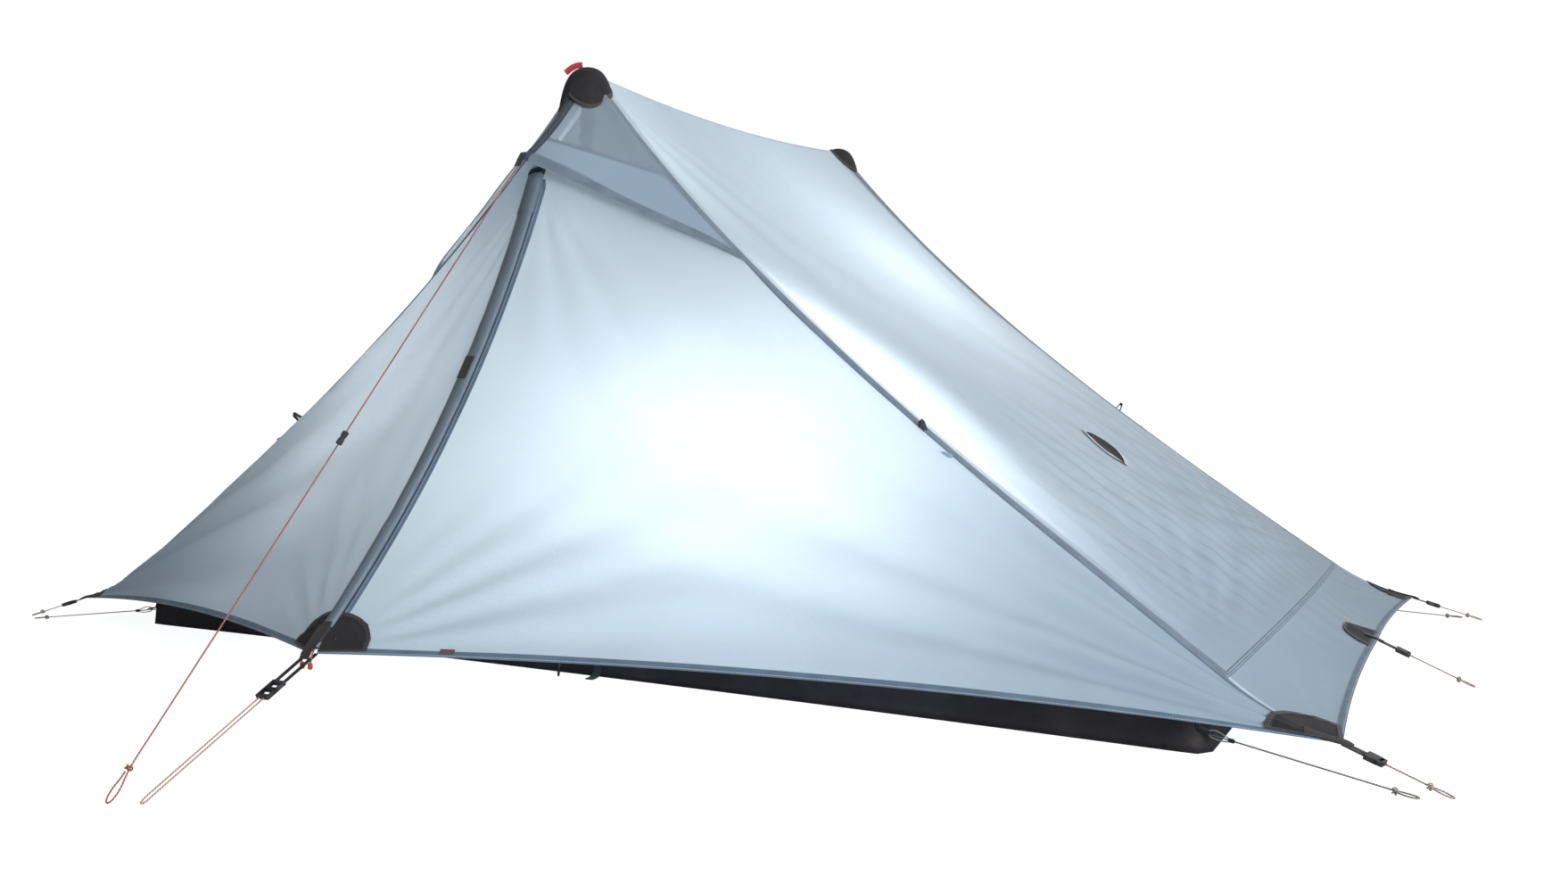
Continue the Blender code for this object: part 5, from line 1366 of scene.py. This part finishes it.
def make_cord(node, points, tone, pieces=()):
    """A cord along its CAD solid's route, with a knot where its stake loop closes."""
    route = smooth_route(points, 6)
    made = tube(node + "_cord", route, LINE_RADIUS, tone + "_line", "tent")
    both_ends = node.startswith("vestibule")
    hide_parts(node)
    knots = [] if both_ends else [make_knot(node + "_knot", points, tone + "_line")]


def make_knot(name, points, paint):
    """Overhand knot where the stake loop closes: a small trefoil round the line."""
    centre = (points[2] + points[-1]) / 2
    along = unit(points[2] - points[0])
    side = unit(np.cross(along, (0, 0, 1)))
    up = np.cross(side, along)
    path = []
    for t in np.linspace(0, 2 * np.pi, 61):
        reach = 2 + math.cos(3 * t)
        step = side * reach * math.cos(2 * t) + up * reach * math.sin(2 * t) + along * 1.5 * math.sin(3 * t)
        path.append(centre + step * KNOT_SIZE)
    return tube(name, path, LINE_RADIUS, paint, "tent", 8)


def shock_loop(place, side_x, side_y):
    """Stretchy loop between the tub's webbing and the floor line, closed by a dark knot."""
    start, run = np.array(FLOOR_LINE_RUN[0]), way_of(FLOOR_LINE_RUN)
    path = [above(start + run * along, rise) for along, rise in SHOCK_LOOP]
    route = mirrored(smooth_route(path, 5), side_x, side_y)
    loop = tube("shock_loop_" + place, route, 0.0011, "shock_cord", "tent")
    ends = mirrored([start + run * 0.050, start + run * 0.062], side_x, side_y)
    return [loop, turned("shock_knot_" + place, *ends, 0.0036, "webbing", "tent", "webbing")]


def make_cords():
    """Guylines and floor lines."""
    hood = taut(HOOD_LINE_RUN) + HOOD_LINE_LOOP
    out = taut(VESTIBULE_LINE_OUT)
    vestibule = out + VESTIBULE_LINE_LOOP + list(mirrored(out[::-1], -1, 1))
    for side_y, depth in DEPTHS:
        tensioner = NODES["hood_tensioner_" + depth]
        make_cord("hood_guyline_" + depth, mirrored(hood, 1, side_y), "red", [tensioner])
        make_cord("vestibule_line_" + depth, mirrored(vestibule, 1, side_y), "pale")
    for side_x, word in SIDES:
        make_cord("end_guyline_" + word, mirrored(taut(END_LINE_RUN) + END_LINE_LOOP, side_x, 1), "pale")
        for side_y, depth in DEPTHS:
            place = depth + "_" + word
            corner = mirrored(taut(CORNER_LINE_RUN) + CORNER_LINE_LOOP, side_x, side_y)
            make_cord("corner_guyline_" + place, corner, "pale")
            floor = mirrored(taut(FLOOR_LINE_RUN) + FLOOR_LINE_LOOP, side_x, side_y)
            make_cord("floor_line_" + place, floor, "grey", shock_loop(place, side_x, side_y))


def add_light(name, kind, place, power):
    data = bpy.data.lights.new(name, kind)
    data.energy = power
    made = bpy.data.objects.new(name, data)
    made.location = place
    bpy.context.scene.collection.objects.link(made)
    return made


def area_light(name, place, target, size, power, spread=180):
    made = add_light(name, "AREA", place, power)
    made.data.shape = "DISK"
    made.data.size = size
    made.data.spread = math.radians(spread)
    made.rotation_euler = (Vector(target) - Vector(place)).to_track_quat("-Z", "Y").to_euler()


def make_studio():
    """Pale floor, a white dome that is brightest behind and to the right, and soft lamps."""
    world = bpy.data.worlds.new("studio")
    nodes = Nodes(world)
    direction = nodes.coordinates("Generated")
    ways = {0: direction, 1: unit(DOME_AIM)}
    facing = nodes.node("VectorMath", ways, operation="DOT_PRODUCT").outputs["Value"]
    dome = nodes.ramp(facing, DOME_START, DOME_END, DOME_DIM, DOME_BRIGHT, interpolation_type="SMOOTHSTEP")
    seen = nodes.node("LightPath").outputs["Is Camera Ray"]
    strength = nodes.node("Mix", {0: seen, 2: dome, 3: BACKDROP_GLOW}).outputs[0]
    nodes.fill(nodes.tree.nodes["Background"], {0: colour(1, 1, 1), 1: strength})
    bpy.context.scene.world = world
    bpy.context.scene.view_settings.view_transform = "Standard"
    area_light("right_softbox", SOFTBOX_PLACE, SOFTBOX_AIM, SOFTBOX_SIZE, SOFTBOX_POWER)
    area_light("inner_softbox", INNER_PLACE, INNER_AIM, INNER_SIZE, INNER_POWER, INNER_SPREAD)
    area_light("left_softbox", LEFT_PLACE, LEFT_AIM, LEFT_SIZE, LEFT_POWER, INNER_SPREAD)
    add_light("inner_lamp", "POINT", LAMP_PLACE, LAMP_POWER).data.shadow_soft_size = LAMP_SIZE

    paint = Paint("pale_floor")
    grain = paint.noise(paint.coordinates("Object"), 3.0, 3.0)
    shown = paint.node("LightPath").outputs["Is Camera Ray"]
    paint.shade({
        "Base Color": paint.blend(grain, colour(0.30, 0.30, 0.30), colour(0.32, 0.32, 0.32)),
        "Roughness": 0.8, "Specular IOR Level": 0.2, "Emission Color": colour(1, 1, 1),
        "Emission Strength": paint.math("MULTIPLY", shown, FLOOR_GLOW),
    })
    data = bpy.data.meshes.new("studio_floor")
    corners = [(x * FLOOR_REACH, y * FLOOR_REACH, 0) for x, y in ((-1, -1), (1, -1), (1, 1), (-1, 1))]
    data.from_pydata(corners, [], [(0, 1, 2, 3)])
    data.materials.append(paint.material)
    floor = bpy.data.objects.new("studio_floor", data)
    floor.location = (0, 0, -FLOOR_DROP)
    bpy.context.scene.collection.objects.link(floor)


make_camera()
repaint()
make_cords()
ROOF = panel_grid(upper_seam, ridge, foot_seam, ROOF_CROWN, ROOF_STEPS)
FOOT = panel_grid(lower_seam, foot_seam, end_hem, 0, FOOT_STEPS)
SIDE = side_grid()
FOOT_CLOTHS = [make_end(side, word, ROOF, FOOT) for side, word in SIDES]
# All four corner patches rest on the right foot's cloth, mirrored
for side_x, word in SIDES:
    for side_y, depth in DEPTHS:
        make_side(side_x, side_y, depth + "_" + word, SIDE, FOOT_CLOTHS[0])
for side_y, depth in DEPTHS:
    make_hood(side_y, depth)
    make_flap(side_y, depth)
    make_cap(side_y, depth)
make_tub()
make_nets()
make_trim()
make_studio()
